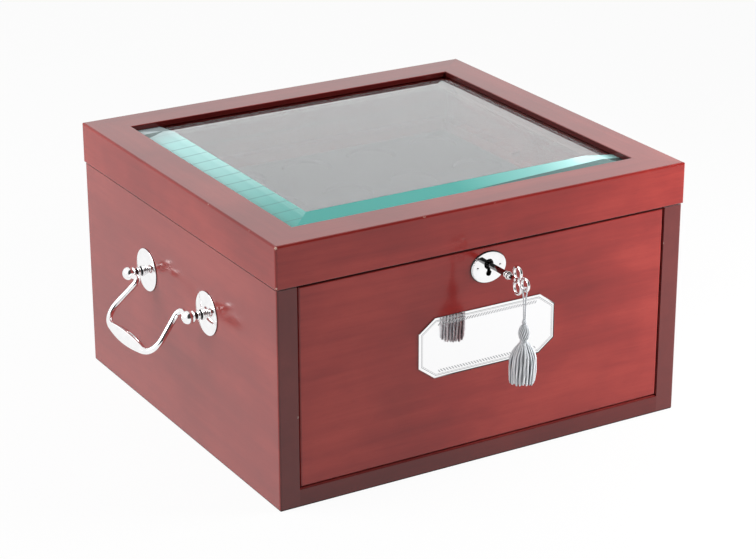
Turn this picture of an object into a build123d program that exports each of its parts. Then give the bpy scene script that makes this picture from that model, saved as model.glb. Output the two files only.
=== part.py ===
from build123d import *

# Coin display case, in millimetres.
# X runs along the front from left to right, Y to the back and Z up.
# The origin is the centre of the felt that the case stands on.

import os
from math import atan2, cos, degrees, pi, radians, sin

os.makedirs("parts", exist_ok=True)

# ------------------------------------------------------------------ driving dimensions
# Carcase
lid_width = 350.0
lid_depth = 322.0
lid_height = 32.5
lid_overhang = 1.0
shut_gap = 1.0                    # between the lid and the walls under it
wall_top = 169.5                  # top of the side panels and of the drawer front
side_thickness = 16.0
bottom_rail_height = 14.3         # felt and bottom board together
back_thickness = 12.0
felt_thickness = 1.0
felt_inset = 3.0
edge_round = 1.6
fit = 0.3                         # running clearance of wood on wood
loose_fit = 0.5                   # clearance of what lifts out or drops in

# Display compartment
shelf_thickness = 6.0
shelf_dado = 4.0
shelf_top = 128.0
inner_rail_thickness = 12.0
tray_height = 26.0
tray_wall = 8.0
tray_floor = 5.0
tray_finger_radius = 13.0
pad_thickness = 12.0
coin_columns = 5
coin_rows = 4
coin_well_radius = 20.0
coin_well_sides = 14
coin_well_depth = 3.0
coin_margin = 8.0                 # pad left outside the outermost wells

# Lid frame and glass
frame_width = 29.3
rebate_width = 6.0
lip_thickness = 4.2
frame_round = 1.8
frame_inner_round = 0.8
glass_thickness = 6.0
glass_sink = 1.2                  # glass face under the frame's top
glass_side_gap = 1.0
bevel_width = 30.0                # 25 mm of it show inside the frame
bevel_drop = 3.96
bead_height = 8.0
bead_round = 3.0
bead_joint = 0.2                  # half the gap between two beads at a corner

# Hinges of the lid
hinge_offset = 105.0
hinge_length = 40.0
hinge_leaf = 1.0
hinge_leaf_width = 9.5
hinge_barrel_radius = 2.6
hinge_barrel_sides = 10
hinge_pin_radius = 1.25
hinge_pin_fit = 0.05
hinge_segments = 3
hinge_segment_gap = 0.3
hinge_clearance = 0.3             # barrel to the wood beside it
hinge_screw_spacing = 26.0

# Small screws
screw_radius = 1.0
screw_head_radius = 2.0
screw_length = 8.0
screw_sides = 8

# Pads that the lid and the drawer shut on
pad_radius = 4.0
pad_sides = 12
pad_clearance = 0.3
pad_inset = 9.0

# Drawer
drawer_front_thickness = 16.0
drawer_front_set_back = 0.5       # behind the side panels' front edges
drawer_reveal = 1.1
drawer_front_gap = 1.5            # between the drawer front and what is behind it
drawer_side_gap = 1.6
drawer_wall = 12.0
drawer_subfront_thickness = 10.0
drawer_back_thickness = 10.0
drawer_back_gap = 4.0             # behind the shut drawer
drawer_floor_gap = 2.2            # under the drawer's sides
drawer_bottom_thickness = 5.0
drawer_bottom_height = 6.0        # of the bottom's underside over the sides' lower edge
drawer_bottom_tongue = 5.0
drawer_travel = 220.0
stop_height = 6.0
stop_length = 10.0
stop_width = 30.0
stop_inset = 54.4                 # of the stops' centres from the drawer's walls
stop_clearance = 0.6              # of the drawer's sides under the stops
stop_overlap = 4.0                # how far the drawer's back reaches above its sides
runner_height = 10.0
runner_width = 6.5
runner_rise = 44.0                # runner's underside over the sides' lower edge
lining_thickness = 2.0
divider_thickness = 6.0
divider_height = 62.0
divider_count = 2
front_screw_spacing_x = 220.0
front_screw_spacing_z = 60.0

# Lock and key
key_backset = 13.9                # of the key's axis under the walls' top
key_shank_radius = 2.1
key_bore_radius = 1.1
key_collar_radius = 3.1
key_collar_length = 3.0
key_reach = 25.5                  # shank showing outside the drawer front
key_bit_radius = 7.4
key_bit_thickness = 1.8
key_bit_length = 3.4
bow_ring_radius = 4.3             # to the middle of the ring
bow_ring_thickness = 2.4
bow_chamfer = 0.6
bow_sides = 14
bow_lobe_rise = 5.7
bow_first_lobe = 9.8              # from the collar's outer face
bow_last_lobe = 9.6               # from the first pair of lobes
bow_hub_radius = 2.6
bow_neck_width = 3.0
key_ward_cut = 1.0
full_turn = 360.0                 # degrees
keyhole_round = 3.9
keyhole_foot = 2.2
keyhole_neck = 1.3
keyhole_drop = 6.7
keyhole_sides = 12
lock_width = 38.0
lock_drop = 11.8                  # case below the key's axis
lock_wall = 1.0
lock_front_wood = 6.3             # wood left in front of the lock
lock_fit = 0.1
selvedge_width = 52.0
selvedge_depth = 11.0
selvedge_thickness = 1.2
bolt_plate_thickness = 1.6
bolt_plate_width = 24.0
bolt_head_width = 14.0
bolt_head_depth = 5.0
bolt_travel = 6.0
bolt_gap = 0.3
drill_pin_radius = 1.0
cover_screw_spacing_z = 12.0
cover_margin = 5.0
strike_screw_margin = 5.0

# Plates on the front
escutcheon_width = 30.6
escutcheon_height = 24.6
escutcheon_thickness = 1.2
escutcheon_drop = 2.2             # of its centre under the key's axis
escutcheon_sides = 28
escutcheon_pin_spacing = 19.2
escutcheon_pin_radius = 0.8
escutcheon_pin_head = 1.3
escutcheon_pin_length = 6.0
name_plate_width = 118.0
name_plate_height = 47.5
name_plate_centre = 99.2
name_plate_thickness = 0.9
name_plate_cut_x = 13.5
name_plate_cut_z = 10.0
name_plate_edge = 0.3

# Handles
handle_below_shelf = 7.0
handle_spacing = 101.6
rosette_radius = 17.0
rosette_edge = 0.8
rosette_rise = 3.2
rosette_dome_radius = 11.6
rosette_dome_rise = 2.5
rosette_sides = 20
post_reach = 15.0                 # ball's centre off the wall
post_ball_radius = 5.4
post_neck_radius = 2.4
post_ring_radii = (4.4, 3.5)
post_ring_width = 1.9
post_sides = 10
post_groove_width = 0.9
post_hole_radius = 1.6
handle_screw_radius = 1.8
handle_screw_head = 3.6
handle_screw_head_height = 2.4
handle_screw_hold = 6.0           # thread inside the post
bail_rest_angle = 43.0            # outward from hanging straight down
bail_wire_radius = 2.3
bail_wire_sides = 6
bail_pin_radius = 1.5
bail_drop = 39.6
bail_neck = 34.0                  # half the span where the arms start
bail_neck_rise = 1.8
bail_corner = 43.4                # half the span where arm and grip meet
bail_neck_bend = 4.5
bail_corner_bend = 13.0
grip_radius = 5.3
grip_length = 54.0
grip_steps = 3                    # tapers from the grip's middle to each end
ball_clearance = 0.7

# Tassel
cord_radius = 0.6
cord_sides = 6
cord_loop_radius = 2.1
cord_leg_spacing = 1.4
cord_join = 143.0                 # where the cord's legs come together
knot_top = 129.0
knot_radius = 1.9
knot_sides = 8
head_top = 125.0
head_radius = 4.3
head_bottom = 113.4
head_sides = 12
neck_radius = 3.1
skirt_top = 111.4
skirt_bottom = 80.0
skirt_radius = 9.9
skirt_top_radius = 3.3
strand_count = 22
core_share = 0.6                  # of the yarns' inner radius, filled by the core
strand_width = 1.9
strand_bend = 0.35                # of the skirt's length, where the yarns straighten
strand_bend_spread = 0.6          # of the skirt's spread, reached at that bend

# ------------------------------------------------------------------ places worked out
case_width = lid_width - 2 * lid_overhang
case_depth = lid_depth - 2 * lid_overhang
lid_bottom = wall_top + shut_gap
lid_top = lid_bottom + lid_height
inside_x = case_width / 2 - side_thickness
case_front = -case_depth / 2
back_inside = case_depth / 2 - back_thickness

front_face = case_front + drawer_front_set_back
front_back = front_face + drawer_front_thickness
front_width = 2 * (inside_x - drawer_reveal)
front_bottom = bottom_rail_height + drawer_reveal
front_height = wall_top - front_bottom
bay_front = front_back + drawer_front_gap

shelf_bottom = shelf_top - shelf_thickness
handle_height = shelf_bottom - handle_below_shelf
key_height = wall_top - key_backset
escutcheon_centre = key_height - escutcheon_drop
inner_rail_back = bay_front + inner_rail_thickness

drawer_low = bottom_rail_height + drawer_floor_gap
drawer_high = shelf_bottom - stop_height - stop_clearance
drawer_x = inside_x - drawer_side_gap
drawer_inside_x = drawer_x - drawer_wall
drawer_rear = back_inside - drawer_back_gap
drawer_inside_front = front_back + drawer_subfront_thickness
drawer_inside_rear = drawer_rear - drawer_back_thickness
drawer_floor = drawer_low + drawer_bottom_height + drawer_bottom_thickness
stop_rear = drawer_inside_rear - drawer_travel - fit

hinge_y = lid_depth / 2 + hinge_barrel_radius + hinge_clearance
hinge_z = wall_top + shut_gap / 2

handle_x = case_width / 2 + post_reach
bow_start = front_face - key_reach - key_collar_length
bow_pair_y = bow_start - bow_first_lobe
bow_end_y = bow_pair_y - bow_last_lobe
tassel_pivot_z = key_height - bow_ring_radius

lock_front = front_face + lock_front_wood
lock_depth = drawer_front_thickness - lock_front_wood - lock_wall
lock_low = key_height - lock_drop
lock_high = wall_top - selvedge_thickness
bit_front = lock_front + lock_wall + bolt_gap
bit_back = bit_front + key_bit_length
bolt_plate_front = bit_back + bolt_gap
bolt_plate_back = bolt_plate_front + bolt_plate_thickness
bolt_low = key_height - bolt_travel - drill_pin_radius - 2 * bolt_gap - bolt_plate_thickness
bolt_shoulder = lock_high - bolt_travel - bolt_gap
bolt_head_low = key_height + key_bit_radius + bolt_gap
bolt_top = wall_top - bolt_gap

sides = (-1, 1)


def front_plane(y, z):
    """Return the plane that faces the front at depth y, with its origin at height z."""
    return Plane(origin=(0, y, z), x_dir=(1, 0, 0), z_dir=(0, -1, 0))


def turned(place, outline, side_count):
    """Return a turned piece with flat sides, from distances and radii along the place's normal."""
    step = 2 * pi / side_count
    turns = [step * (number + 0.5) for number in range(side_count)]
    rings = []
    for distance, radius in outline:
        corner = radius / cos(step / 2)
        rings.append(
            [
                place.from_local_coords((corner * cos(turn), corner * sin(turn), distance))
                for turn in turns
            ]
        )
    flats = [rings[0], rings[-1]]
    for lower, upper in zip(rings, rings[1:]):
        flats += [
            [lower[number - 1], lower[number], upper[number], upper[number - 1]]
            for number in range(side_count)
        ]
    return Solid(Shell([Face(Wire.make_polygon(corners)) for corners in flats]))


def countersunk_screw(seat, length, radius, head_radius):
    """Return a screw with its head flush in the plane seat and its shank against the normal."""
    head_height = head_radius - radius
    outline = [(-length, radius), (-head_height, radius), (0, head_radius)]
    return turned(seat, outline, screw_sides)


def keyhole_outline(round_radius, neck, foot_radius):
    """Return a keyhole with the key's axis at its origin: a round, a neck and a round foot."""
    with BuildSketch() as outline:
        RegularPolygon(round_radius, keyhole_sides, major_radius=False)
        with Locations((0, -keyhole_drop / 2)):
            Rectangle(2 * neck, keyhole_drop)
        with Locations((0, -keyhole_drop)):
            RegularPolygon(foot_radius, keyhole_sides, major_radius=False)
    return outline.sketch


# ------------------------------------------------------------------ carcase
def side_panel(side):
    """Return a side panel with its shelf dado and the handle's stepped screw holes."""
    wall_x = side * (case_width - side_thickness) / 2
    with BuildPart() as panel:
        with BuildSketch(Plane.XY.offset(felt_thickness)):
            with Locations((wall_x, 0)):
                Rectangle(side_thickness, case_depth)
        extrude(amount=wall_top - felt_thickness)
        outer_edges = panel.edges().filter_by(Axis.Z).sort_by(Axis.X)
        fillet(outer_edges[:2] if side < 0 else outer_edges[-2:], radius=edge_round)
        dado_length = back_inside - bay_front
        with Locations((side * (inside_x + shelf_dado / 2), bay_front, shelf_bottom)):
            Box(
                shelf_dado,
                dado_length,
                shelf_thickness,
                align=(Align.CENTER, Align.MIN, Align.MIN),
                mode=Mode.SUBTRACT,
            )
        for end in sides:
            hole = Plane(
                origin=(side * inside_x, end * handle_spacing / 2, handle_height),
                x_dir=(0, 1, 0),
                z_dir=(side, 0, 0),
            )
            outline = [
                (0, handle_screw_head + fit),
                (handle_screw_head_height + fit, handle_screw_head + fit),
                (handle_screw_head_height + fit, handle_screw_radius + lock_fit),
                (side_thickness, handle_screw_radius + lock_fit),
            ]
            add(turned(hole, outline, post_sides), mode=Mode.SUBTRACT)
    return panel.part


for side, side_name in ((-1, "side_left"), (1, "side_right")):
    with BuildPart() as side_board:
        add(side_panel(side))
    side_board.part.label = side_name
    export_step(side_board.part, f"parts/{side_name}.step")

with BuildPart() as bottom_board:
    with BuildSketch(Plane.XY.offset(felt_thickness)):
        Rectangle(2 * inside_x, case_depth)
    extrude(amount=bottom_rail_height - felt_thickness)
    fillet(
        bottom_board.edges().filter_by(Axis.X).group_by(Axis.Y)[0].sort_by(Axis.Z)[-1],
        radius=edge_round / 2,
    )
bottom_board.part.label = "bottom_board"
export_step(bottom_board.part, "parts/bottom_board.step")

with BuildPart() as felt_base:
    with BuildSketch(Plane.XY):
        RectangleRounded(case_width - 2 * felt_inset, case_depth - 2 * felt_inset, felt_inset)
    extrude(amount=felt_thickness)
felt_base.part.label = "felt_base"
export_step(felt_base.part, "parts/felt_base.step")

hinge_places = [(side * hinge_offset, 0) for side in sides]
hinge_screw_places = [
    side * hinge_offset + shift * hinge_screw_spacing / 2 for side in sides for shift in sides
]
hinge_leaf_end = hinge_y - hinge_barrel_radius - hinge_clearance
hinge_leaf_start = case_depth / 2 - hinge_leaf_width
hinge_screw_y = (hinge_leaf_start + case_depth / 2) / 2
case_hinge_screws = [
    countersunk_screw(
        Plane(origin=(x, hinge_screw_y, wall_top), z_dir=(0, 0, 1)),
        screw_length,
        screw_radius,
        screw_head_radius,
    )
    for x in hinge_screw_places
]

with BuildPart() as back_panel:
    with BuildSketch(Plane.XY.offset(bottom_rail_height)):
        with Locations((0, case_depth / 2 - back_thickness / 2)):
            Rectangle(2 * inside_x, back_thickness)
    extrude(amount=wall_top - bottom_rail_height)
    with BuildSketch(Plane.XY.offset(wall_top)):
        for x, _ in hinge_places:
            with Locations((x, hinge_leaf_start)):
                Rectangle(hinge_length, back_thickness, align=(Align.CENTER, Align.MIN))
    extrude(amount=-hinge_leaf, mode=Mode.SUBTRACT)
    add(case_hinge_screws, mode=Mode.SUBTRACT)
back_panel.part.label = "back_panel"
export_step(back_panel.part, "parts/back_panel.step")

with BuildPart() as mid_shelf:
    with BuildSketch(Plane.XY.offset(shelf_bottom)):
        with Locations((0, (bay_front + back_inside) / 2)):
            Rectangle(2 * (inside_x + shelf_dado), back_inside - bay_front)
    extrude(amount=shelf_thickness)
mid_shelf.part.label = "mid_shelf"
export_step(mid_shelf.part, "parts/mid_shelf.step")

with BuildPart() as inner_front_rail:
    with BuildSketch(Plane.XY.offset(shelf_top)):
        with Locations((0, bay_front)):
            Rectangle(2 * inside_x, inner_rail_thickness, align=(Align.CENTER, Align.MIN))
    extrude(amount=wall_top - shelf_top)
    fillet(
        inner_front_rail.edges().filter_by(Axis.X).group_by(Axis.Z)[-1], radius=edge_round / 2
    )
inner_front_rail.part.label = "inner_front_rail"
export_step(inner_front_rail.part, "parts/inner_front_rail.step")

runner_low = drawer_low + runner_rise
with BuildPart() as drawer_runners:
    for side in sides:
        with BuildSketch(Plane.XY.offset(runner_low)):
            with Locations((side * (inside_x - runner_width / 2), bay_front)):
                Rectangle(runner_width, back_inside - bay_front, align=(Align.CENTER, Align.MIN))
        extrude(amount=runner_height)
drawer_runners.part.label = "drawer_runners"
export_step(drawer_runners.part, "parts/drawer_runners.step")

with BuildPart() as drawer_stops:
    with BuildSketch(Plane.XY.offset(shelf_bottom)):
        with Locations(*[(side * (drawer_inside_x - stop_inset), stop_rear) for side in sides]):
            Rectangle(stop_width, stop_length, align=(Align.CENTER, Align.MAX))
    extrude(amount=-stop_height)
drawer_stops.part.label = "drawer_stops"
export_step(drawer_stops.part, "parts/drawer_stops.step")

with BuildPart() as drawer_bumpers:
    with BuildSketch(front_plane(bay_front, (shelf_top + wall_top) / 2)):
        with Locations(*[(side * (inside_x - 3 * pad_inset), 0) for side in sides]):
            RegularPolygon(pad_radius, pad_sides)
    extrude(amount=drawer_front_gap - pad_clearance)
drawer_bumpers.part.label = "drawer_bumpers"
export_step(drawer_bumpers.part, "parts/drawer_bumpers.step")

with BuildPart() as lid_bumpers:
    with BuildSketch(Plane.XY.offset(wall_top)):
        with Locations(
            *[(side * (case_width - side_thickness) / 2, case_front + pad_inset) for side in sides]
        ):
            RegularPolygon(pad_radius, pad_sides)
    extrude(amount=shut_gap - pad_clearance)
lid_bumpers.part.label = "lid_bumpers"
export_step(lid_bumpers.part, "parts/lid_bumpers.step")

# ------------------------------------------------------------------ display tray
tray_width = 2 * (inside_x - loose_fit)
tray_depth = back_inside - inner_rail_back - 2 * loose_fit
tray_centre_y = (back_inside + inner_rail_back) / 2
tray_top = shelf_top + tray_height
pad_bottom = shelf_top + tray_floor
pad_top = pad_bottom + pad_thickness
pad_width = tray_width - 2 * tray_wall
pad_depth = tray_depth - 2 * tray_wall

with BuildPart() as display_tray:
    with BuildSketch(Plane.XY.offset(shelf_top)):
        with Locations((0, tray_centre_y)):
            Rectangle(tray_width, tray_depth)
    extrude(amount=tray_height)
    with BuildSketch(Plane.XY.offset(tray_top)):
        with Locations((0, tray_centre_y)):
            Rectangle(pad_width, pad_depth)
    extrude(amount=tray_floor - tray_height, mode=Mode.SUBTRACT)
    with BuildSketch(Plane.YZ):
        with Locations((tray_centre_y, tray_top)):
            SlotOverall(4 * tray_finger_radius, tray_finger_radius)
    extrude(amount=tray_width, both=True, mode=Mode.SUBTRACT)
display_tray.part.label = "display_tray"
export_step(display_tray.part, "parts/display_tray.step")

coin_pitch_x = (pad_width - 2 * coin_margin - 2 * coin_well_radius) / (coin_columns - 1)
coin_pitch_y = (pad_depth - 2 * coin_margin - 2 * coin_well_radius) / (coin_rows - 1)
with BuildPart() as coin_pad:
    with BuildSketch(Plane.XY.offset(pad_bottom)):
        with Locations((0, tray_centre_y)):
            Rectangle(pad_width, pad_depth)
    extrude(amount=pad_thickness)
    with BuildSketch(Plane.XY.offset(pad_top)):
        with Locations((0, tray_centre_y)):
            with GridLocations(coin_pitch_x, coin_pitch_y, coin_columns, coin_rows):
                RegularPolygon(coin_well_radius, coin_well_sides, major_radius=False)
    extrude(amount=-coin_well_depth, mode=Mode.SUBTRACT)
coin_pad.part.label = "coin_pad"
export_step(coin_pad.part, "parts/coin_pad.step")

# ------------------------------------------------------------------ hinges
segment_length = hinge_length / hinge_segments
underside = Plane(origin=(0, 0, lid_bottom), x_dir=(1, 0, 0), z_dir=(0, 0, -1))
lid_hinge_screws = [
    countersunk_screw(
        Plane(origin=(x, hinge_screw_y, lid_bottom), z_dir=(0, 0, -1)),
        screw_length,
        screw_radius,
        screw_head_radius,
    )
    for x in hinge_screw_places
]


def hinge_leaf_part(centre_x, owned, leaf_low):
    """Return a leaf with its share of the barrel: owned is 0 for the outer segments, else 1."""
    with BuildPart() as leaf:
        with BuildSketch(Plane.XY.offset(leaf_low)):
            with Locations((centre_x, hinge_leaf_start)):
                Rectangle(
                    hinge_length, hinge_leaf_end - hinge_leaf_start, align=(Align.CENTER, Align.MIN)
                )
        extrude(amount=hinge_leaf)
        for number in range(owned, hinge_segments, 2):
            start = centre_x - hinge_length / 2 + number * segment_length + hinge_segment_gap / 2
            length = segment_length - hinge_segment_gap
            with BuildSketch(Plane.XY.offset(leaf_low)):
                with Locations((start, hinge_leaf_end)):
                    Rectangle(length, hinge_y - hinge_leaf_end, align=(Align.MIN, Align.MIN))
            extrude(amount=hinge_leaf)
            with BuildSketch(
                Plane(origin=(start, hinge_y, hinge_z), x_dir=(0, 1, 0), z_dir=(1, 0, 0))
            ):
                RegularPolygon(hinge_barrel_radius, hinge_barrel_sides)
            extrude(amount=length)
        with BuildSketch(Plane(origin=(centre_x, hinge_y, hinge_z), z_dir=(1, 0, 0))):
            Circle(hinge_pin_radius + hinge_pin_fit)
        extrude(amount=hinge_length, both=True, mode=Mode.SUBTRACT)
    return leaf.part


case_leaf_low = wall_top - hinge_leaf
with BuildPart() as hinge_leaves_case:
    for x, _ in hinge_places:
        add(hinge_leaf_part(x, 0, case_leaf_low))
    add(case_hinge_screws, mode=Mode.SUBTRACT)
hinge_leaves_case.part.label = "hinge_leaves_case"
export_step(hinge_leaves_case.part, "parts/hinge_leaves_case.step")

with BuildPart() as hinge_leaves_lid:
    for x, _ in hinge_places:
        add(hinge_leaf_part(x, 1, lid_bottom))
    add(lid_hinge_screws, mode=Mode.SUBTRACT)
hinge_leaves_lid.part.label = "hinge_leaves_lid"
export_step(hinge_leaves_lid.part, "parts/hinge_leaves_lid.step")

with BuildPart() as hinge_pins:
    for x, _ in hinge_places:
        with BuildSketch(Plane(origin=(x, hinge_y, hinge_z), z_dir=(1, 0, 0))):
            Circle(hinge_pin_radius)
        extrude(amount=hinge_length / 2, both=True)
hinge_pins.part.label = "hinge_pins"
export_step(hinge_pins.part, "parts/hinge_pins.step")

with BuildPart() as hinge_screws_case:
    add(case_hinge_screws)
hinge_screws_case.part.label = "hinge_screws_case"
export_step(hinge_screws_case.part, "parts/hinge_screws_case.step")

with BuildPart() as hinge_screws_lid:
    add(lid_hinge_screws)
hinge_screws_lid.part.label = "hinge_screws_lid"
export_step(hinge_screws_lid.part, "parts/hinge_screws_lid.step")

# ------------------------------------------------------------------ lid frame and glass
# Each length of frame is drawn in section, u inward from the lid's outer face and z up, drawn
# out along its side of the lid, and cut at both ends on the mitre.
lid_sides = {
    "front": ((0, 1, 0), lid_width, lid_depth / 2),
    "back": ((0, -1, 0), lid_width, lid_depth / 2),
    "left": ((1, 0, 0), lid_depth, lid_width / 2),
    "right": ((-1, 0, 0), lid_depth, lid_width / 2),
}


def mitred_length(side_name, section, joint=0.0):
    """Return the section carried along one side of the lid, mitred and short of the mitre by joint."""
    inward, length, distance = lid_sides[side_name]
    inward = Vector(*inward)
    along = inward.cross(Vector(0, 0, 1))
    outer = inward * -distance
    with BuildPart() as piece:
        with BuildSketch(Plane(origin=outer, x_dir=inward, z_dir=along)):
            add(section)
        extrude(amount=length / 2, both=True)
        for end in sides:
            corner = outer + along * (end * (length / 2 - joint))
            split(
                bisect_by=Plane(origin=corner, z_dir=along * end + inward), keep=Keep.BOTTOM
            )
    return piece.part


rebate_u = frame_width - rebate_width
with BuildSketch() as rail_section:
    with BuildLine():
        Polyline(
            (0, lid_bottom),
            (rebate_u, lid_bottom),
            (rebate_u, lid_top - lip_thickness),
            (frame_width, lid_top - lip_thickness),
            (frame_width, lid_top),
            (0, lid_top),
            close=True,
        )
    make_face()
    left_corners = rail_section.vertices().group_by(Axis.X)[0].sort_by(Axis.Y)
    fillet(left_corners[-1], radius=frame_round)
    left_corners = rail_section.vertices().group_by(Axis.X)[0].sort_by(Axis.Y)
    fillet(left_corners[0], radius=frame_round / 2)
    fillet(
        rail_section.vertices().group_by(Axis.X)[-1].sort_by(Axis.Y)[-1], radius=frame_inner_round
    )


def lid_rail(side_name):
    """Return one rail of the lid frame, rounded at the lid's upright corners."""
    with BuildPart() as rail:
        add(mitred_length(side_name, rail_section.sketch))
        with BuildSketch(Plane.XY.offset(lid_bottom)):
            RectangleRounded(lid_width, lid_depth, edge_round)
        extrude(amount=lid_height, mode=Mode.INTERSECT)
    return rail.part


for side_name in ("left", "right"):
    with BuildPart() as lid_side_rail:
        add(lid_rail(side_name))
    lid_side_rail.part.label = f"lid_rail_{side_name}"
    export_step(lid_side_rail.part, f"parts/lid_rail_{side_name}.step")

strike_y = bolt_plate_back - bolt_head_depth / 2
strike_length = selvedge_width
strike_depth = selvedge_depth
strike_screw_spacing = strike_length - 2 * strike_screw_margin
strike_screw_set = [
    countersunk_screw(
        Plane(origin=(side * strike_screw_spacing / 2, strike_y, lid_bottom), z_dir=(0, 0, -1)),
        screw_length,
        screw_radius,
        screw_head_radius,
    )
    for side in sides
]
with BuildPart() as lid_rail_front:
    add(lid_rail("front"))
    with BuildSketch(underside):
        with Locations((0, -strike_y)):
            Rectangle(strike_length, strike_depth)
    extrude(amount=-selvedge_thickness, mode=Mode.SUBTRACT)
    with BuildSketch(underside):
        with Locations((0, -strike_y)):
            Rectangle(bolt_head_width + 4 * bolt_gap, bolt_head_depth + 4 * bolt_gap)
    extrude(amount=-bolt_travel - selvedge_thickness, mode=Mode.SUBTRACT)
    add(strike_screw_set, mode=Mode.SUBTRACT)
lid_rail_front.part.label = "lid_rail_front"
export_step(lid_rail_front.part, "parts/lid_rail_front.step")

with BuildPart() as lid_rail_back:
    add(lid_rail("back"))
    with BuildSketch(underside):
        for x, _ in hinge_places:
            with Locations((x, -hinge_leaf_start)):
                Rectangle(
                    hinge_length, lid_depth / 2 - hinge_leaf_start, align=(Align.CENTER, Align.MAX)
                )
    extrude(amount=-hinge_leaf, mode=Mode.SUBTRACT)
    add(lid_hinge_screws, mode=Mode.SUBTRACT)
lid_rail_back.part.label = "lid_rail_back"
export_step(lid_rail_back.part, "parts/lid_rail_back.step")

glass_top = lid_top - glass_sink
glass_bottom = glass_top - glass_thickness
glass_width = lid_width - 2 * (rebate_u + glass_side_gap)
glass_depth = lid_depth - 2 * (rebate_u + glass_side_gap)
with BuildPart() as glass_panel:
    with BuildSketch(Plane.XY.offset(glass_bottom)):
        Rectangle(glass_width, glass_depth)
    extrude(amount=glass_thickness - bevel_drop)
    with BuildSketch(Plane.XY.offset(glass_top - bevel_drop)):
        Rectangle(glass_width, glass_depth)
    extrude(amount=bevel_drop, taper=degrees(atan2(bevel_width, bevel_drop)))
glass_panel.part.label = "glass_panel"
export_step(glass_panel.part, "parts/glass_panel.step")

with BuildSketch() as bead_section:
    with BuildLine():
        Polyline(
            (rebate_u, glass_bottom - bead_height),
            (frame_width, glass_bottom - bead_height),
            (frame_width, glass_bottom),
            (rebate_u, glass_bottom),
            close=True,
        )
    make_face()
    fillet(bead_section.vertices().group_by(Axis.X)[-1].sort_by(Axis.Y)[0], radius=bead_round)

with BuildPart() as glass_beads:
    for side_name in lid_sides:
        add(mitred_length(side_name, bead_section.sketch, bead_joint))
glass_beads.part.label = "glass_beads"
export_step(glass_beads.part, "parts/glass_beads.step")

with BuildPart() as strike_plate:
    with BuildSketch(underside):
        with Locations((0, -strike_y)):
            Rectangle(strike_length, strike_depth)
            Rectangle(
                bolt_head_width + 2 * bolt_gap,
                bolt_head_depth + 2 * bolt_gap,
                mode=Mode.SUBTRACT,
            )
    extrude(amount=-selvedge_thickness)
    add(strike_screw_set, mode=Mode.SUBTRACT)
strike_plate.part.label = "strike_plate"
export_step(strike_plate.part, "parts/strike_plate.step")

with BuildPart() as strike_screws:
    add(strike_screw_set)
strike_screws.part.label = "strike_screws"
export_step(strike_screws.part, "parts/strike_screws.step")

# ------------------------------------------------------------------ drawer
lock_face = front_plane(front_face, key_height)
cover_width = lock_width + 2 * cover_margin
cover_low = lock_low - cover_margin
selvedge_y = strike_y
front_screw_z = (drawer_low + drawer_high) / 2
front_screw_places = [
    (side * front_screw_spacing_x / 2, rise * front_screw_spacing_z / 2)
    for side in sides
    for rise in sides
]
cover_screw_places = [
    (side * (lock_width + cover_margin) / 2, rise * cover_screw_spacing_z / 2)
    for side in sides
    for rise in sides
]
front_screw_set = [
    countersunk_screw(
        Plane(origin=(x, drawer_inside_front, front_screw_z + rise), z_dir=(0, 1, 0)),
        drawer_subfront_thickness + screw_length,
        screw_radius,
        screw_head_radius,
    )
    for x, rise in front_screw_places
]
cover_screw_set = [
    countersunk_screw(
        Plane(origin=(x, front_back, key_height + rise), z_dir=(0, 1, 0)),
        screw_length,
        screw_radius,
        screw_head_radius,
    )
    for x, rise in cover_screw_places
]
escutcheon_pin_set = [
    turned(
        Plane(
            origin=(
                side * escutcheon_pin_spacing / 2,
                front_face - escutcheon_thickness,
                escutcheon_centre,
            ),
            z_dir=(0, -1, 0),
        ),
        [
            (-escutcheon_pin_length, escutcheon_pin_radius),
            (0, escutcheon_pin_radius),
            (0, escutcheon_pin_head),
            (escutcheon_pin_head / 2, escutcheon_pin_radius),
        ],
        screw_sides,
    )
    for side in sides
]

with BuildPart() as drawer_front:
    with BuildSketch(front_plane(front_back, front_bottom + front_height / 2)):
        Rectangle(front_width, front_height)
    extrude(amount=drawer_front_thickness)
    fillet(drawer_front.faces().sort_by(Axis.Y)[0].edges(), radius=edge_round)
    # Pocket for the lock case, the cover's recess behind it and the selvedge's along the top.
    pocket_height = wall_top - lock_low + lock_fit
    with Locations((0, lock_front - lock_fit, wall_top)):
        Box(
            lock_width + 2 * lock_fit,
            drawer_front_thickness,
            pocket_height,
            align=(Align.CENTER, Align.MIN, Align.MAX),
            mode=Mode.SUBTRACT,
        )
    with Locations((0, front_back, wall_top)):
        Box(
            cover_width + 2 * lock_fit,
            2 * lock_wall,
            wall_top - cover_low + lock_fit,
            align=(Align.CENTER, Align.CENTER, Align.MAX),
            mode=Mode.SUBTRACT,
        )
    with Locations((0, selvedge_y, wall_top)):
        Box(
            selvedge_width + 2 * lock_fit,
            selvedge_depth + 2 * lock_fit,
            2 * selvedge_thickness,
            mode=Mode.SUBTRACT,
        )
    with BuildSketch(lock_face):
        add(keyhole_outline(keyhole_round, keyhole_neck, keyhole_foot))
    extrude(amount=-drawer_front_thickness / 2, mode=Mode.SUBTRACT)
    add(escutcheon_pin_set + front_screw_set + cover_screw_set, mode=Mode.SUBTRACT)
drawer_front.part.label = "drawer_front"
export_step(drawer_front.part, "parts/drawer_front.step")


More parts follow.
